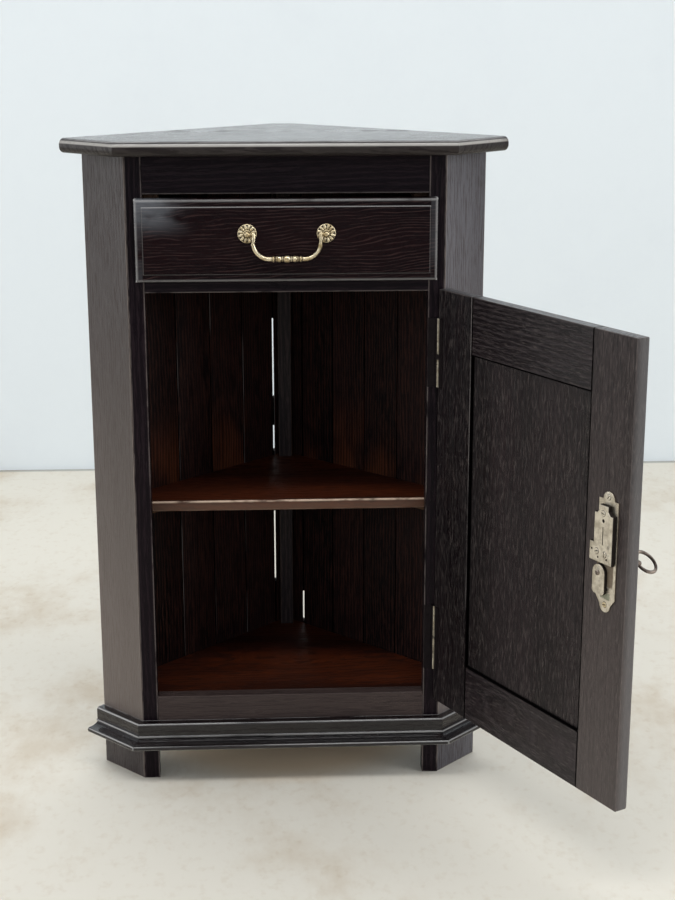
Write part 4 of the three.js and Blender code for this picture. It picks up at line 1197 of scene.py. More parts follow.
@dataclass
class BaseMoulding(SubAssembly):
    """The moulding round the base: lip, fascia, bead, cove and nose."""

    low: float = 52 * MM
    high: float = 83 * MM
    front_half: float = 195.7 * MM
    cant_length: float = 56 * math.sqrt(2) * MM
    back: float = 0.3 * MM
    lip_flat: float = 8.5 * MM
    lip: float = 12.5 * MM
    lip_drop: float = 4 * MM
    fascia_drop: float = 16.5 * MM
    bead_height: float = 4 * MM
    bead: float = 3.2 * MM
    nose: float = 29.6 * MM
    nose_height: float = 6.5 * MM
    curve_steps: int = 8
    # Where the painted highlight lines run along the section
    crests: tuple[Pair, ...] = in_mm((11.5, 82), (14.1, 64.5), (28.8, 57.7))
    crest_reach: float = 1.1 * MM

    def bend(self, start: Pair, pull: Pair, end: Pair) -> list[Pair]:
        """Draws a curve of the section, without its end.

        Args:
            start: Where it starts.
            pull: The point that draws it aside.
            end: Where it ends.

        Returns:
            The curve's points.
        """
        points = []
        for step in range(self.curve_steps):
            share = step / self.curve_steps
            weights = ((1 - share) ** 2, 2 * share * (1 - share), share**2)
            points.append(tuple(
                sum(weight * point[axis] for weight, point in zip(weights, (start, pull, end)))
                for axis in range(2)
            ))
        return points

    def section(self) -> list[Pair]:
        """Draws the section.

        Returns:
            Its points as distance out and height.
        """
        nose_middle = (self.nose, self.low + self.nose_height / 2)
        nose_top = self.low + self.nose_height
        nose_back = self.nose - self.nose_height / 2
        fascia_low = self.high - self.fascia_drop
        bead_low = fascia_low - self.bead_height
        return [
            (self.back, self.high),
            (self.back, self.low),
            *self.bend((nose_back, self.low), (self.nose, self.low), nose_middle),
            *self.bend(nose_middle, (self.nose, nose_top), (nose_back, nose_top)),
            *self.bend((nose_back, nose_top), (self.lip + self.bead_height, nose_top), (self.lip, bead_low)),
            *self.bend(
                (self.lip, bead_low), (self.lip + self.bead, bead_low + self.bead_height / 2), (self.lip, fascia_low)
            ),
            (self.lip, fascia_low),
            *self.bend((self.lip, self.high - self.lip_drop), (self.lip, self.high), (self.lip_flat, self.high)),
            (self.lip_flat, self.high),
        ]

    def run(self, start: Callable[[float], float], end: Callable[[float], float]) -> Workpiece:
        """Makes a length of moulding along X.

        Args:
            start: Where it starts at a distance out.
            end: Where it ends at a distance out.

        Returns:
            The length.
        """
        length = Workpiece()
        length.slab([(0, -out, height) for out, height in self.section()], X)
        for vert in length.mesh.verts:
            vert.co.x = (end if vert.co.x > 0.5 else start)(-vert.co.y)
        # Marks the painted highlight lines
        length.patina_and_light_at = lambda co: float(any(
            math.dist((-co.y, co.z), crest) < self.crest_reach for crest in self.crests
        ))
        return length

    def build(self) -> None:
        """Makes and dresses the three lengths."""
        mitre = math.tan(EIGHTH_TURN / 2)
        front = self.run(
            lambda out: -self.front_half - mitre * out,
            lambda out: self.front_half + mitre * out,
        )
        piece = front.finish("front_moulding_wood", Body.CABINET, Slot.DARK_OAK, ["front_moulding"], crease=24)
        panel_wood(piece, self.finishes.moulding, Board(X, -Y, Figure.STRAIGHT, seed=6.1))
        for sign, side in SIDES:
            length = self.run(
                lambda out, sign=sign: -sign * mitre * out,
                lambda out, sign=sign: sign * self.cant_length,
            )
            at = DATUM.cant(sign)
            name = f"{side}_moulding"
            piece = length.finish(f"{name}_wood", Body.CABINET, Slot.DARK_OAK, [name], at, crease=24)
            turn = at.to_3x3()
            panel_wood(piece, self.finishes.moulding, Board(turn @ X, turn @ -Y, Figure.STRAIGHT, seed=7.4 + sign))


@dataclass
class Carcass(SubAssembly):
    """The canted sides, face frame, shelves and the strips that carry them."""

    outer_arris: float = 0.8 * MM

    def build(self) -> None:
        """Dresses the solids."""
        finishes = self.finishes
        straight, crown = Figure.STRAIGHT, Figure.CROWN
        # The right side's copy is lighter and bluer, a painted sheen
        right_sheen_cant = replace(finishes.cant, dark=shade(74, 72, 77), light=shade(92, 90, 95))
        for (sign, side), cant in zip(SIDES, (finishes.cant, right_sheen_cant)):
            turn = DATUM.cant(sign).to_3x3()
            dress_board(f"{side}_side", cant, Board(Z, turn @ -Y, straight, seed=2.3 + sign), self.outer_arris)
            stile = Board(Z, -Y, straight, seed=5.2 + sign)
            dress_board(f"{side}_stile", finishes.outside, stile, self.outer_arris)
            for place in ("shelf", "bottom"):
                name = f"{side}_{place}_cleat"
                dress_board(name, finishes.raw, Board(turn @ Y, -sign * (turn @ X), straight, seed=8.1 + sign))
            dress_board(f"{side}_drawer_runner", finishes.raw, Board(Y, Z, straight, seed=11.3 + sign))
            dress_board(f"{side}_drawer_kicker", finishes.raw, Board(Y, Z, straight, seed=14.6 + sign))
        # The bottom rail takes the finish with the painted floor reflection
        rails = {"top": finishes.outside, "middle": finishes.outside, "bottom": finishes.low_rail}
        for index, (place, finish) in enumerate(rails.items()):
            dress_board(f"{place}_rail", finish, Board(X, -Y, straight, seed=17.2 + index))
        dress_board("rear_post", finishes.post, Board(Z, -Y, straight, seed=21.7))
        dress_board("bottom_board", finishes.shelves, Board(X, Z, crown, seed=23.4))
        # The shelf's front edge carries painted light
        dress_board("shelf", finishes.shelves, Board(X, Z, crown, seed=25.7, lit_edges=(Edge.LOW_SIDE,)))


@dataclass
class BackWalls(SubAssembly):
    """The two walls of tongued boards behind."""

    board_count: int = 6

    def build(self) -> None:
        """Dresses the boards, each with a figure of its own."""
        seams = (Edge.LOW_SIDE, Edge.HIGH_SIDE)
        # Painted glow of light bounced off the shelf, on the inside faces of the boards above it
        finish = replace(self.finishes.inside, glow_height=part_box("shelf")[1].z)
        for sign, side in SIDES:
            inwards = DATUM.cant(sign).to_3x3() @ (-sign * X)
            for index in range(1, self.board_count + 1):
                board = Board(Z, inwards, Figure.STRAIGHT, seed=30.3 + 3.7 * index + sign, seams=seams)
                dress_board(f"{side}_back_board_{index}", finish, board)


@dataclass
class DrawerBox(SubAssembly):
    """The drawer's front, sides, back and bottom."""

    front_arris: float = 0.7 * MM

    def build(self) -> None:
        """Dresses the solids."""
        raw, straight = self.finishes.raw, Figure.STRAIGHT
        dress_board("drawer_front", self.finishes.drawer, Board(X, -Y, straight, seed=51.3), self.front_arris)
        dress_board("drawer_left_side", raw, Board(Y, X, straight, seed=53.1))
        dress_board("drawer_right_side", raw, Board(Y, -X, straight, seed=55.6))
        dress_board("drawer_back", raw, Board(X, -Y, straight, seed=57.2))
        dress_board("drawer_bottom", raw, Board(X, Z, Figure.CROWN, seed=59.9))


@dataclass
class BailHandle(SubAssembly):
    """The bail with its turned grip, hung from two petalled rosettes."""

    centres_half: float = 48 * MM
    height: float = 728.9 * MM
    face_depth: float = 20.8 * MM
    stand_off: float = 9.6 * MM
    stem_end: float = 33.3 * MM
    stem_radius: float = 2.0 * MM
    stem_bevel: float = 0.4 * MM
    petal_count: int = 12
    petal: Point = (3.9 * MM, 2.0 * MM, 1.7 * MM)
    petal_place: Point = (8.1 * MM, 0, 2.1 * MM)
    pearl: Point = (0.9 * MM, 0.9 * MM, 0.9 * MM)
    pearl_place: Point = (4.1 * MM, 0, 3.5 * MM)
    petals_ring: Pair = (3.6 * MM, 10.4 * MM)
    leg_radius: float = 2.5 * MM
    leg_across: float = 40.8 * MM
    leg_drop: float = 12 * MM
    bail_drop: float = 30 * MM
    bar_half: float = 22 * MM
    grip_radius: float = 2.9 * MM
    pin_radius: float = 1.5 * MM
    pin_gap: float = 2.1 * MM
    leg_crown: tuple[Pair, ...] = in_mm((0, 1.4), (0.5, 2.1), (1.4, 2.5))
    swell: float = 0.4 * MM
    soiled_half: float = 19 * MM
    soiled_drop: float = 25 * MM
    nut_arris: float = 0.3 * MM
    curve_steps: int = 14
    grip_step: float = 0.4 * MM
    beads: tuple[Point, ...] = (
        (16.5, 1.2, 4.0), (12.9, 0.8, 3.4), (9.5, 2.4, 4.1), (5.4, 0.8, 3.4), (0.0, 4.0, 4.6)
    )
    rosette_profile: tuple[Pair, ...] = in_mm(
        (0, 0.3), (11.2, 0.3), (11.7, 0.8), (11.7, 1.5), (11.2, 2.1), (10.2, 2.3), (8.5, 1.9), (5.2, 2.1),
        (3.8, 3.0), (3.1, 4.2), (2.9, 5.2), (3.4, 5.9), (3.7, 6.6), (3.4, 7.2), (3.9, 8.2), (4.2, 9.6),
        (3.9, 11.0), (3.3, 12.3), (2.2, 13.3), (1.0, 13.75), (0, 13.8),
    )

    def rosette(self, sign: int, side: str) -> None:
        """Makes one rosette with its boss and stem.

        Args:
            sign: -1 for the left and 1 for the right.
            side: The side's name.
        """
        flower = Workpiece()
        flower.turn(self.rosette_profile)
        step = FULL_TURN / self.petal_count
        for index in range(self.petal_count):
            spoke = Matrix.Rotation((index + 0.5) * step, 4, "Z")
            flower.ball(self.petal, spoke @ Matrix.Translation(self.petal_place), 14)
            flower.ball(self.pearl, spoke @ Matrix.Translation(self.pearl_place), 8)
        # Patina and painted shade in the hollows between the petals
        inner, outer = self.petals_ring
        flower.patina_and_light_at = lambda co: (
            1 - min(max(co.z / MM - 2.5, 0), 1) if inner < co.xy.length < outer else 0.0
        )
        front = Matrix.Translation((sign * self.centres_half, -self.face_depth, self.height))
        at = DATUM.plan @ front @ Matrix.Rotation(QUARTER_TURN, 4, "X")
        inside = 0.5 * MM
        flower.turn([
            (0, inside),
            (self.stem_radius, inside),
            (self.stem_radius, self.stem_bevel - self.stem_end),
            (self.stem_radius - self.stem_bevel, -self.stem_end),
            (0, -self.stem_end),
        ], 24)
        name = f"handle_{side}_rosette"
        piece = flower.finish(f"{name}_brass", Body.DRAWER, Slot.OLD_BRASS, [name], at, 50)
        paint(piece, self.finishes.brass.material(patina_and_light))

    def radius_at(self, across: float) -> float:
        """Gives the grip's radius at a distance from its middle.

        Args:
            across: The distance.

        Returns:
            The radius.
        """
        radius = self.grip_radius
        for place, half, peak in self.beads:
            share = (abs(across) / MM - place) / half
            if abs(share) < 1:
                radius = max(radius, self.grip_radius + (peak * MM - self.grip_radius) * math.sqrt(1 - share**2))
        return radius

    def stations(self) -> list[tuple[Vector, float]]:
        """Draws the bail from the top of its left leg.

        Returns:
            The points of its line, with its radius at each.
        """
        bend_across = (self.leg_across + self.bar_half) / 2
        bend_drop = (self.leg_drop + self.bail_drop) / 2
        legs = [
            (Vector((-self.leg_across, 0, self.leg_radius - drop)), radius) for drop, radius in self.leg_crown
        ]
        legs.append((Vector((-self.leg_across, 0, -self.leg_drop / 2)), self.leg_radius))
        corners = [
            Vector((-self.leg_across, 0, -self.leg_drop)),
            Vector((-self.leg_across, 0, -bend_drop)),
            Vector((-bend_across, 0, -self.bail_drop)),
            Vector((-self.bar_half, 0, -self.bail_drop)),
        ]
        bend = []
        for step in range(self.curve_steps):
            share = step / self.curve_steps
            weights = ((1 - share) ** 3, 3 * share * (1 - share) ** 2, 3 * share**2 * (1 - share), share**3)
            point = sum((weight * corner for weight, corner in zip(weights, corners)), Vector())
            bend.append((point, self.leg_radius + share * self.swell))
        count = round(self.bar_half / self.grip_step)
        grip = [-self.bar_half * (1 - index / count) for index in range(count)]
        bar = [(Vector((across, 0, -self.bail_drop)), self.radius_at(across)) for across in grip]
        left = legs + bend + bar
        middle = [(Vector((0, 0, -self.bail_drop)), self.radius_at(0))]
        right = [(Vector((-point.x, point.y, point.z)), radius) for point, radius in reversed(left)]
        return left + middle + right

    def bail(self) -> None:
        """Makes the bail and its pins."""
        shape = Workpiece()
        shape.tube(self.stations())
        for sign in (-1, 1):
            start = Vector((sign * self.leg_across, 0, 0))
            end = Vector((sign * (self.centres_half - self.pin_gap), 0, 0))
            shape.tube([(start, self.pin_radius), (end, self.pin_radius)], 14)
        shape.patina_and_light_at = lambda co: (
            0.85 - min(max((self.radius_at(co.x) / MM - 2.9) * 1.1, 0), 0.85)
            if co.z < -self.soiled_drop and abs(co.x) < self.soiled_half else 0.0
        )
        axis = Matrix.Translation((0, -self.face_depth - self.stand_off, self.height))
        piece = shape.finish(
            "handle_bail_brass", Body.BAIL, Slot.OLD_BRASS, ["handle_bail"], DATUM.plan @ axis, 50
        )
        paint(piece, self.finishes.brass.material(patina_and_light))

    def build(self) -> None:
        """Makes and dresses the handle."""
        for sign, side in SIDES:
            self.rosette(sign, side)
            dress_metal(f"handle_{side}_nut", self.finishes.brass.material(), self.nut_arris)
        self.bail()


@dataclass
class PanelDoor(SubAssembly):
    """The framed door with its fielded panel."""

    tongue_depth: float = 6.6 * MM

    def build(self) -> None:
        """Dresses the solids."""
        turn = DATUM.door.to_3x3()
        along, face = turn @ X, turn @ Y
        finish = self.finishes.door
        straight, sides = Figure.STRAIGHT, (Edge.LOW_SIDE, Edge.HIGH_SIDE)
        # Edges lit with painted light: the hinge stile's top end, the lock stile's top end and free edge, and the
        # top rail's outer edge
        top, lit = (Edge.HIGH_END,), (Edge.HIGH_END, Edge.LOW_SIDE)
        # The rails' lighter streaks are painted reflections off the pores
        railed = replace(finish, dust_share=0.2, streak=shade(52, 44, 46), streak_share=0.5)
        # Painted light and shade: the hinge stile is a darker shaded copy with a painted glint beside its seam; the
        # lock stile is a lighter lit copy with painted bounce light towards its foot
        shaded = replace(finish, dark=shade(8, 3, 6), light=shade(22, 12, 16), dust_share=0.25, glint_share=0.6)
        painted_lit = replace(finish, dark=shade(34, 27, 28), light=shade(54, 45, 45), dust_share=0.3, bounce_share=0.3)
        boards = {
            "door_hinge_stile": (shaded, Board(Z, face, straight, seed=61.2, seams=sides[:1], lit_edges=top)),
            "door_lock_stile": (painted_lit, Board(Z, face, straight, seed=63.9, seams=sides[1:], lit_edges=lit)),
            "door_top_rail": (railed, Board(along, face, straight, seed=65.5, seams=sides[1:], lit_edges=sides[:1])),
            "door_bottom_rail": (railed, Board(along, face, Figure.CROWN, seed=67.1, seams=sides[:1])),
        }
        for name, (wood, board) in boards.items():
            dress_board(name, wood, board)
        plain = replace(finish, dark=shade(17, 11, 13), light=shade(38, 29, 31), dust_share=0.28)
        hidden = replace(plain, seam_width=self.tongue_depth + finish.seam_width)
        dress_board("door_panel", hidden, Board(Z, face, straight, seed=69.8, seams=tuple(Edge)))


@dataclass(frozen=True)
class Screw:
    """A slotted screw. Its head fills a countersink, and may stand proud of it with a wider rim."""

    head: float = 2.45 * MM
    seat: float = 2.45 * MM
    rim: float = 0.0
    lift: float = 0.0
    neck: float = 1.35 * MM
    sink: float = 1.05 * MM
    length: float = 1.3 * MM
    slot_half: float = 0.36 * MM
    slot_depth: float = 0.6 * MM

    def add(self, shape: Workpiece, at: Matrix, turn: float) -> None:
        """Adds the screw to a mesh.

        Args:
            shape: The mesh.
            at: Where the middle of its head goes, with its head towards +Z.
            turn: How far its slot is turned, in radians.
        """
        known = set(shape.mesh.verts)
        top = self.head - self.rim
        bmesh.ops.create_circle(shape.mesh, cap_ends=True, segments=28, radius=top)
        for side in (-1, 1):
            faces = [face for face in shape.mesh.faces if face.verts[0] not in known]
            verts = shape.added(known)
            geometry = [*faces, *edges_at(verts), *verts]
            bmesh.ops.bisect_plane(
                shape.mesh, geom=geometry, plane_co=(0, side * self.slot_half, 0), plane_no=(0, 1, 0)
            )
        faces = [face for face in shape.mesh.faces if face.verts[0] not in known]
        groove = [face for face in faces if abs(face.calc_center_median().y) < self.slot_half]
        floor = verts_of(bmesh.ops.extrude_face_region(shape.mesh, geom=groove)["geom"])
        bmesh.ops.translate(shape.mesh, verts=floor, vec=(0, 0, -self.slot_depth))
        bmesh.ops.delete(shape.mesh, geom=groove, context="FACES_ONLY")
        raised = at @ Matrix.Translation((0, 0, self.lift)) @ Matrix.Rotation(turn, 4, "Z")
        bmesh.ops.transform(shape.mesh, matrix=raised, verts=shape.added(known))
        shoulder = self.lift - self.rim
        profile = dict.fromkeys([
            (top, self.lift), (self.head, shoulder), (self.seat, shoulder), (self.neck, -self.sink),
            (self.neck, -self.length), (0, -self.length),
        ])
        shape.turn(list(profile), 28, at)


@dataclass
class Hinges(SubAssembly):
    """The two butt hinges and their screws. Stain covers them but for a strip down the knuckles that wear has
    cleared.
    """

    lows: tuple[float, float] = (150.5 * MM, 531.5 * MM)
    length: float = 88 * MM
    screw_across: float = -7.7 * MM
    frame_face: float = 1.8 * MM
    door_face: float = 1.4 * MM
    bared_depth: float = 2.5 * MM
    bared_fade: float = 0.3 * MM
    bared_half: Pair = (0.5 * MM, 1.3 * MM)
    arris: float = 0.2 * MM
    arris_limit: float = 15
    screw_count: int = 3
    screw: Screw = Screw()

    def stained(self, graph: Graph) -> Value:
        """Finds what lies off the strip down the knuckles that wear has cleared of stain.

        Args:
            graph: The material's graph.

        Returns:
            How stained the place is, from 0 to 1.
        """
        across, depth, _ = graph.split(graph.place())
        axis = DATUM.pin.translation
        spots = graph.noise(graph.place(), (60, 60, 90), 4, 3).eased(0.3, 0.5)
        near = 1 - abs(across - axis.x).eased(*self.bared_half)
        front = (axis.y - depth).eased(self.bared_depth - self.bared_fade, self.bared_depth)
        return 1 - near * front * spots

    def screws(self, name: str, body: Body, low: float, at: Matrix, face: Matrix) -> None:
        """Makes the screws of one leaf.

        Args:
            name: The leaf's name.
            body: The body it moves with.
            low: The height of the leaf's foot.
            at: The frame with the pin as its origin.
            face: The turn and depth of the leaf's face.
        """
        shape = Workpiece()
        for index in range(self.screw_count):
            height = low + (index + 0.5) / self.screw_count * self.length
            place = Matrix.Translation((self.screw_across, 0, height)) @ face
            self.screw.add(shape, place, 0.6 + 1.1 * index)
        piece = shape.finish(f"{name}_screws", body, Slot.HINGE_STEEL, at=at)
        paint(piece, self.finishes.steel.material(self.stained))

    def build(self) -> None:
        """Dresses the leaves and pins, and makes their screws."""
        steel = self.finishes.steel.material(self.stained)
        outwards = Matrix.Translation((0, self.frame_face, 0)) @ Matrix.Rotation(QUARTER_TURN, 4, "X")
        inwards = Matrix.Translation((0, self.door_face, 0)) @ Matrix.Rotation(-QUARTER_TURN, 4, "X")
        for low, place in zip(self.lows, ("lower", "upper")):
            for part in ("frame_leaf", "door_leaf", "pin"):
                dress_metal(f"{place}_hinge_{part}", steel, self.arris, self.arris_limit)
            self.screws(f"{place}_hinge_frame_leaf", Body.CABINET, low, DATUM.pin, outwards)
            self.screws(f"{place}_hinge_door_leaf", Body.DOOR, low, DATUM.door, inwards)


@dataclass
class SurfaceLock(SubAssembly):
    """The lock on the door's inner face, with its screws."""

    across: float = -340.5 * MM
    plate_face: float = 2.9 * MM
    case_face: float = 9.7 * MM
    tongue_face: float = 7.8 * MM
    ear_screw: float = 474.6 * MM
    foot_screw: float = 349.6 * MM
    case_low: float = 399 * MM
    arris: float = 0.25 * MM
    below_face: Pair = (0.9 * MM, 0.4 * MM)
    below_plate: Pair = (1.2 * MM, 0.6 * MM)
    rust_side: Pair = (-13 * MM, -11.5 * MM)
    rust_foot: Pair = (369 * MM, 373 * MM)
    rust: Colour = shade(88, 70, 50)
    crust_height: float = 360 * MM
    crust_half: Pair = (7.5 * MM, 9.5 * MM)
    crust_rise: Pair = (3 * MM, 4.5 * MM)
    case_screws: tuple[Pair, ...] = in_mm((9.088, 411.54), (-4.096, 410.4), (0.4, 456.8))
    screw: Screw = Screw(head=3.8 * MM, rim=0.9 * MM, lift=0.9 * MM, slot_half=0.5 * MM)

    def place(self, graph: Graph) -> tuple[Value, Value, Value]:
        """Gives the place on the lock: across, in depth and in height.

        Args:
            graph: The material's graph.

        Returns:
            The three parts, with the depth measured towards the cupboard.
        """
        back = DATUM.door.inverted()
        inputs = {"Vector": graph.place(), "Rotation": back.to_euler(), "Location": back.translation}
        across, depth, height = graph.split(graph.node("ShaderNodeMapping", {"vector_type": "POINT"}, inputs))
        return across - self.across, depth, height

    def below(self, face: float) -> Callable[[Graph], Value]:
        """Darkens what lies below a face with grime and painted shade.

        Args:
            face: The face's depth.

        Returns:
            What finds the darkening.
        """
        return lambda graph: 1 - self.place(graph)[1].eased(*(face - depth for depth in self.below_face))

    def ragged(self, graph: Graph, rate: float, seed: float, depth: float) -> Value:
        """Gives an offset that makes a border ragged.

        Args:
            graph: The material's graph.
            rate: How many times a metre it changes.
            seed: What sets it apart from other noise.
            depth: How far the border may stray in all.

        Returns:
            The offset.
        """
        return (graph.noise(graph.place(), (rate, rate, rate), seed, 4) - 0.5) * depth

    def plate_rust_and_shade(self, graph: Graph) -> Value:
        """Finds the rust beside the tongue and the plate's rim, which is darkened with painted shade.

        Args:
            graph: The material's graph.

        Returns:
            How rusted and shaded the place is, from 0 to 1.
        """
        across, depth, height = self.place(graph)
        ragged = self.ragged(graph, 160, 6, 6 * MM)
        strip = (across + ragged * 0.3).eased(*self.rust_side)
        high = 1 - (height + ragged * 0.2).eased(self.case_low - MM, self.case_low + MM)
        low = (height + ragged).eased(*self.rust_foot)
        # Painted shade down the plate's rim
        sides = 1 - depth.eased(*(self.plate_face - inset for inset in self.below_plate))
        return (strip * high * low * 0.85).larger(sides)

    def crust(self, graph: Graph) -> Value:
        """Finds the green crust above the foot screw.

        Args:
            graph: The material's graph.

        Returns:
            How much crust there is, from 0 to 1.
        """
        across, _, height = self.place(graph)
        ragged = self.ragged(graph, 260, 8, 5 * MM)
        wide = 1 - (abs(across) + ragged).eased(*self.crust_half)
        tall = 1 - (abs(height - self.crust_height) + ragged).eased(*self.crust_rise)
        return wide * tall * 0.8

    def head(self, across: float, height: float, depth: float) -> Matrix:
        """Gives the place of a head that looks into the cupboard when the door is shut.

        Args:
            across: How far it is from the middle of the plate.
            height: Its height.
            depth: The depth of the face that it is in.

        Returns:
            The place.
        """
        spot = Matrix.Translation((self.across + across, depth, height))
        return spot @ Matrix.Rotation(-QUARTER_TURN, 4, "X")

    def build(self) -> None:
        """Dresses the solids and makes the screws."""
        nickel = self.finishes.nickel
        # The sides of the case and tongue are darkened with grime and painted shade
        metals = {
            "lock_plate": replace(nickel, stain=self.rust).material(self.plate_rust_and_shade, self.crust),
            "lock_case": nickel.material(self.below(self.case_face)),
            "lock_tongue": nickel.material(self.below(self.tongue_face)),
        }
        for name, metal in metals.items():
            dress_metal(name, metal, self.arris)
        screws = Workpiece()
        self.screw.add(screws, self.head(0, self.ear_screw, self.plate_face), 0.9)
        for index, (across, height) in enumerate(self.case_screws):
            self.screw.add(screws, self.head(across, height, self.case_face), 0.4 + 1.3 * index)
        proud = [face + self.screw.lift for face in (self.plate_face, self.case_face)]
        # Grime and painted shade in the slots, round the rims and down the shanks: all but the heads' top faces
        screws.patina_and_light_at = lambda co: float(min(abs(co.y - face) for face in proud) > 0.1 * MM)
        piece = screws.finish("lock_screws", Body.DOOR, Slot.LOCK_NICKEL, at=DATUM.door)
        paint(piece, nickel.material(patina_and_light))
        foot = Workpiece()
        self.screw.add(foot, self.head(0, self.foot_screw, self.plate_face), 0.2)
        # Grime and painted shade in the slot and round the head
        foot.patina_and_light_at = lambda co: float(abs(co.y - proud[0]) > 0.1 * MM)
        piece = foot.finish("lock_foot_screw", Body.DOOR, Slot.OLD_BRASS, at=DATUM.door)
        paint(piece, self.finishes.brass.material(patina_and_light))


@dataclass
class DoorKey(SubAssembly):
    """The key that stands in the door: oval bow, collared shank and square end."""

    across: float = -332.5 * MM
    height: float = 386 * MM
    outer_face: float = -18.9 * MM
    tongue_face: float = 7.8 * MM
    reach: float = 31 * MM
    bow_half_length: float = 11.5 * MM
    bow_half_width: float = 15.2 * MM
    wire: float = 2.1 * MM
    tilt: float = math.radians(-33)
    square: float = 3.2 * MM
    square_end: float = 1.4 * MM
    tip_lift: float = 0.3 * MM
    profile: tuple[Pair, ...] = in_mm(
        (0, 0.3), (3.4, 0.3), (3.9, 0.8), (3.9, 2.8), (3.4, 3.3), (2.6, 3.6), (2.45, 9), (2.3, 22.6), (2.9, 23.4),
        (3.8, 24.6), (3.8, 26.2), (2.9, 27.2), (3.3, 28.6), (3.8, 31), (3.8, 33), (2.6, 34.8), (0, 35.4),
    )
    tip_profile: tuple[Pair, ...] = in_mm((0, 0), (3, 0), (3, 0.8), (2.6, 1.1), (0, 1.1))

    def build(self) -> None:
        """Makes and dresses the key."""
        shape = Workpiece()
        forwards = Matrix.Rotation(QUARTER_TURN, 4, "X")
        outside = Matrix.Translation((0, self.outer_face, 0)) @ forwards
        shape.turn(self.profile, 28, outside)
        known = set(shape.mesh.verts)
        made = bmesh.ops.create_circle(
            shape.mesh,
            segments=14,
            radius=self.wire / self.bow_half_width,
            matrix=Matrix.Translation((1, 0, 0)) @ forwards,
        )["verts"]
        bmesh.ops.spin(
            shape.mesh, geom=made + edges_at(made), cent=(0, 0, 0), axis=(0, 0, 1), angle=FULL_TURN, steps=48,
            use_merge=True,
        )
        size = Matrix.Diagonal((self.bow_half_width, self.bow_half_length, self.bow_half_width, 1))
        middle = Matrix.Translation((0, self.outer_face - self.reach - self.bow_half_length, 0))
        at = middle @ Matrix.Rotation(self.tilt, 4, "Y") @ size
        bmesh.ops.transform(shape.mesh, matrix=at, verts=shape.added(known))
        end = self.tongue_face + self.square_end
        halfway = Matrix.Translation((0, (self.outer_face + end) / 2, 0))
        square = halfway @ Matrix.Diagonal((self.square, end - self.outer_face, self.square, 1))
        bmesh.ops.create_cube(shape.mesh, size=1, matrix=square)
        tip = Matrix.Translation((0, self.tongue_face + self.tip_lift, 0)) @ Matrix.Rotation(-QUARTER_TURN, 4, "X")
        shape.turn(self.tip_profile, 28, tip)
        at = DATUM.door @ Matrix.Translation((self.across, 0, self.height))
        piece = shape.finish("key_iron", Body.KEY, Slot.KEY_IRON, ["key"], at, 40)
        paint(piece, self.finishes.iron.material())


@dataclass(frozen=True)
class Lamp:
    """A soft lamp: where it stands, what it is aimed at, its two sizes and its power in watts."""

    name: str
    place: Point
    aim: Point
    size: Pair
    power: float


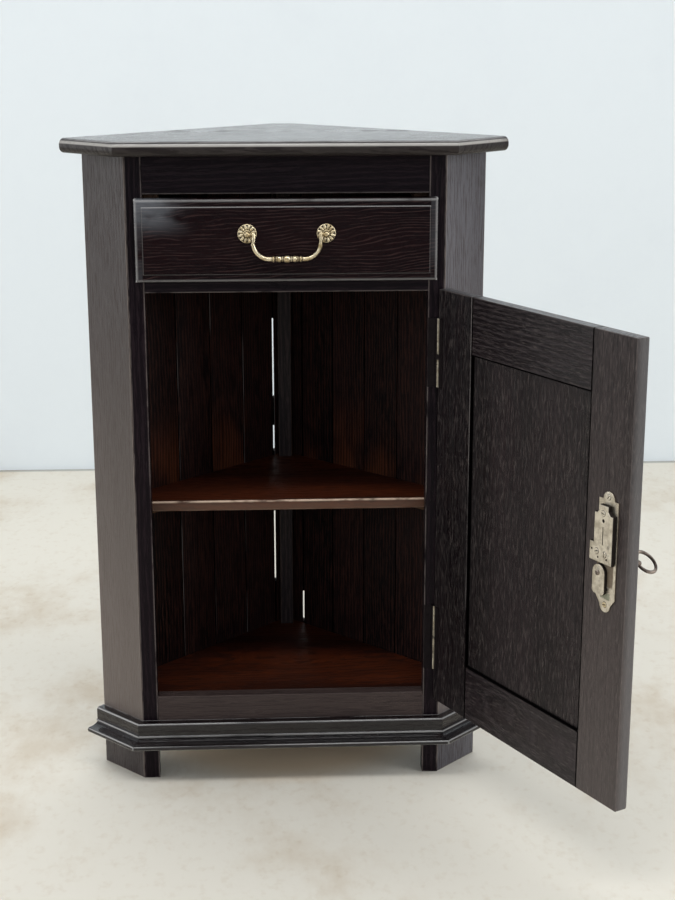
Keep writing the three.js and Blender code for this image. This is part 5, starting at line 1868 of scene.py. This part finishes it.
@dataclass
class Studio:
    """The floor, the wall, the lights and the camera."""

    # The floor: a painted shade line at the wall and a painted warm bounce under the cupboard
    floor: Plain = Plain(
        "studio_floor", shade(222, 217, 205), shade(182, 160, 130), 0.62, seam_depth=WALL_DEPTH,
        warm_bounce=shade(226, 204, 174),
    )
    wall: Plain = Plain("studio_wall", shade(217, 223, 226), shade(211, 217, 221), 0.4, True)
    half_width: float = 4.5
    front: float = -3.8
    wall_height: float = 2.2
    world_level: float = 0.5
    front_share: float = 0.4
    low_level: float = 0.9
    eye: Point = (-0.10007, -1.95974, 0.9832)
    yaw: float = math.radians(2.74)
    pitch: float = math.radians(15.06)
    roll: float = math.radians(-0.06)
    lens: float = 64.51
    sensor_width: float = 36
    nearest: float = 50 * MM
    lamps: tuple[Lamp, ...] = (
        Lamp("overhead", (-0.15, -1.0, 2.7), (0, 0, 0.3), (2.8, 0.5), 34),
        Lamp("back_light", (0, 1.1, 2.3), (0, 0, 0.8), (2.4, 0.5), 12),
        Lamp("left_window", (-2.7, 0.1, 1.1), (0, 0, 0.4), (1.7, 1.7), 20),
        Lamp("right_window", (2.5, -1.0, 1.2), (0, 0, 0.4), (1.3, 1.6), 26),
    )

    def sheet(self, name: str, corners: Sequence[Point], finish: Plain) -> None:
        """Makes a flat sheet that isn't part of the cupboard.

        Args:
            name: The sheet's name.
            corners: Its corners, in order.
            finish: Its paint.
        """
        mesh = bmesh.new()
        mesh.faces.new([mesh.verts.new(corner) for corner in corners])
        data = bpy.data.meshes.new(name)
        mesh.to_mesh(data)
        mesh.free()
        sheet = bpy.data.objects.new(name, data)
        bpy.context.scene.collection.objects.link(sheet)
        paint(sheet, finish.material())

    def place_lamps(self) -> None:
        """Places the lamps."""
        for lamp in self.lamps:
            light = bpy.data.lights.new(lamp.name, "AREA")
            light.shape = "RECTANGLE"
            light.size, light.size_y = lamp.size
            light.energy = lamp.power
            stand = bpy.data.objects.new(lamp.name, light)
            stand.location = lamp.place
            stand.rotation_euler = (Vector(lamp.aim) - Vector(lamp.place)).to_track_quat("-Z", "Y").to_euler()
            bpy.context.scene.collection.objects.link(stand)

    def light_world(self) -> None:
        """Lights the scene from all round, most of all from low in front."""
        world = bpy.data.worlds.new("studio_world")
        graph = Graph(world)
        _, ahead, upward = graph.split(graph.node("ShaderNodeTexCoord", output="Generated"))
        level = ahead.eased(-0.9, -0.35) * (1 - self.front_share) + self.front_share
        low = upward.eased(-0.03, 0.02) * (1 - upward.eased(0.4, 0.66)) * (1 - ahead.eased(-0.6, -0.2))
        inputs = {"Color": shade(240, 245, 250), "Strength": level * self.world_level + low * self.low_level}
        graph.finish(graph.node("ShaderNodeBackground", inputs=inputs), "ShaderNodeOutputWorld")
        bpy.context.scene.world = world

    def aim_camera(self) -> None:
        """Places the camera where the photograph was taken from."""
        camera = bpy.data.objects.new("camera", bpy.data.cameras.new("camera"))
        camera.data.lens = self.lens
        camera.data.sensor_width = self.sensor_width
        camera.data.clip_start = self.nearest
        camera.location = self.eye
        heading = Matrix.Rotation(-self.yaw, 3, "Z") @ Matrix.Rotation(QUARTER_TURN - self.pitch, 3, "X")
        camera.rotation_euler = (heading @ Matrix.Rotation(self.roll, 3, "Z")).to_euler()
        bpy.context.scene.collection.objects.link(camera)
        bpy.context.scene.camera = camera

    def build(self) -> None:
        """Sets the studio up."""
        wide, depth, high = self.half_width, WALL_DEPTH, self.wall_height
        ground = [(-wide, self.front, 0), (wide, self.front, 0), (wide, depth, 0), (-wide, depth, 0)]
        self.sheet("studio_floor", ground, self.floor)
        upright = [(-wide, depth, 0), (wide, depth, 0), (wide, depth, high), (-wide, depth, high)]
        self.sheet("studio_wall", upright, self.wall)
        self.place_lamps()
        self.light_world()
        self.aim_camera()
        bpy.context.scene.view_settings.view_transform = "Standard"


def main() -> None:
    """Builds the cupboard and its studio."""
    logging.basicConfig(level=logging.INFO, format="%(name)s: %(message)s")
    finishes = Finishes()
    for part in (
        TopBoard, BaseMoulding, Carcass, BackWalls, DrawerBox, BailHandle, PanelDoor, Hinges, SurfaceLock, DoorKey
    ):
        part(finishes).build()
    Studio().build()


if __name__ == "__main__":
    main()
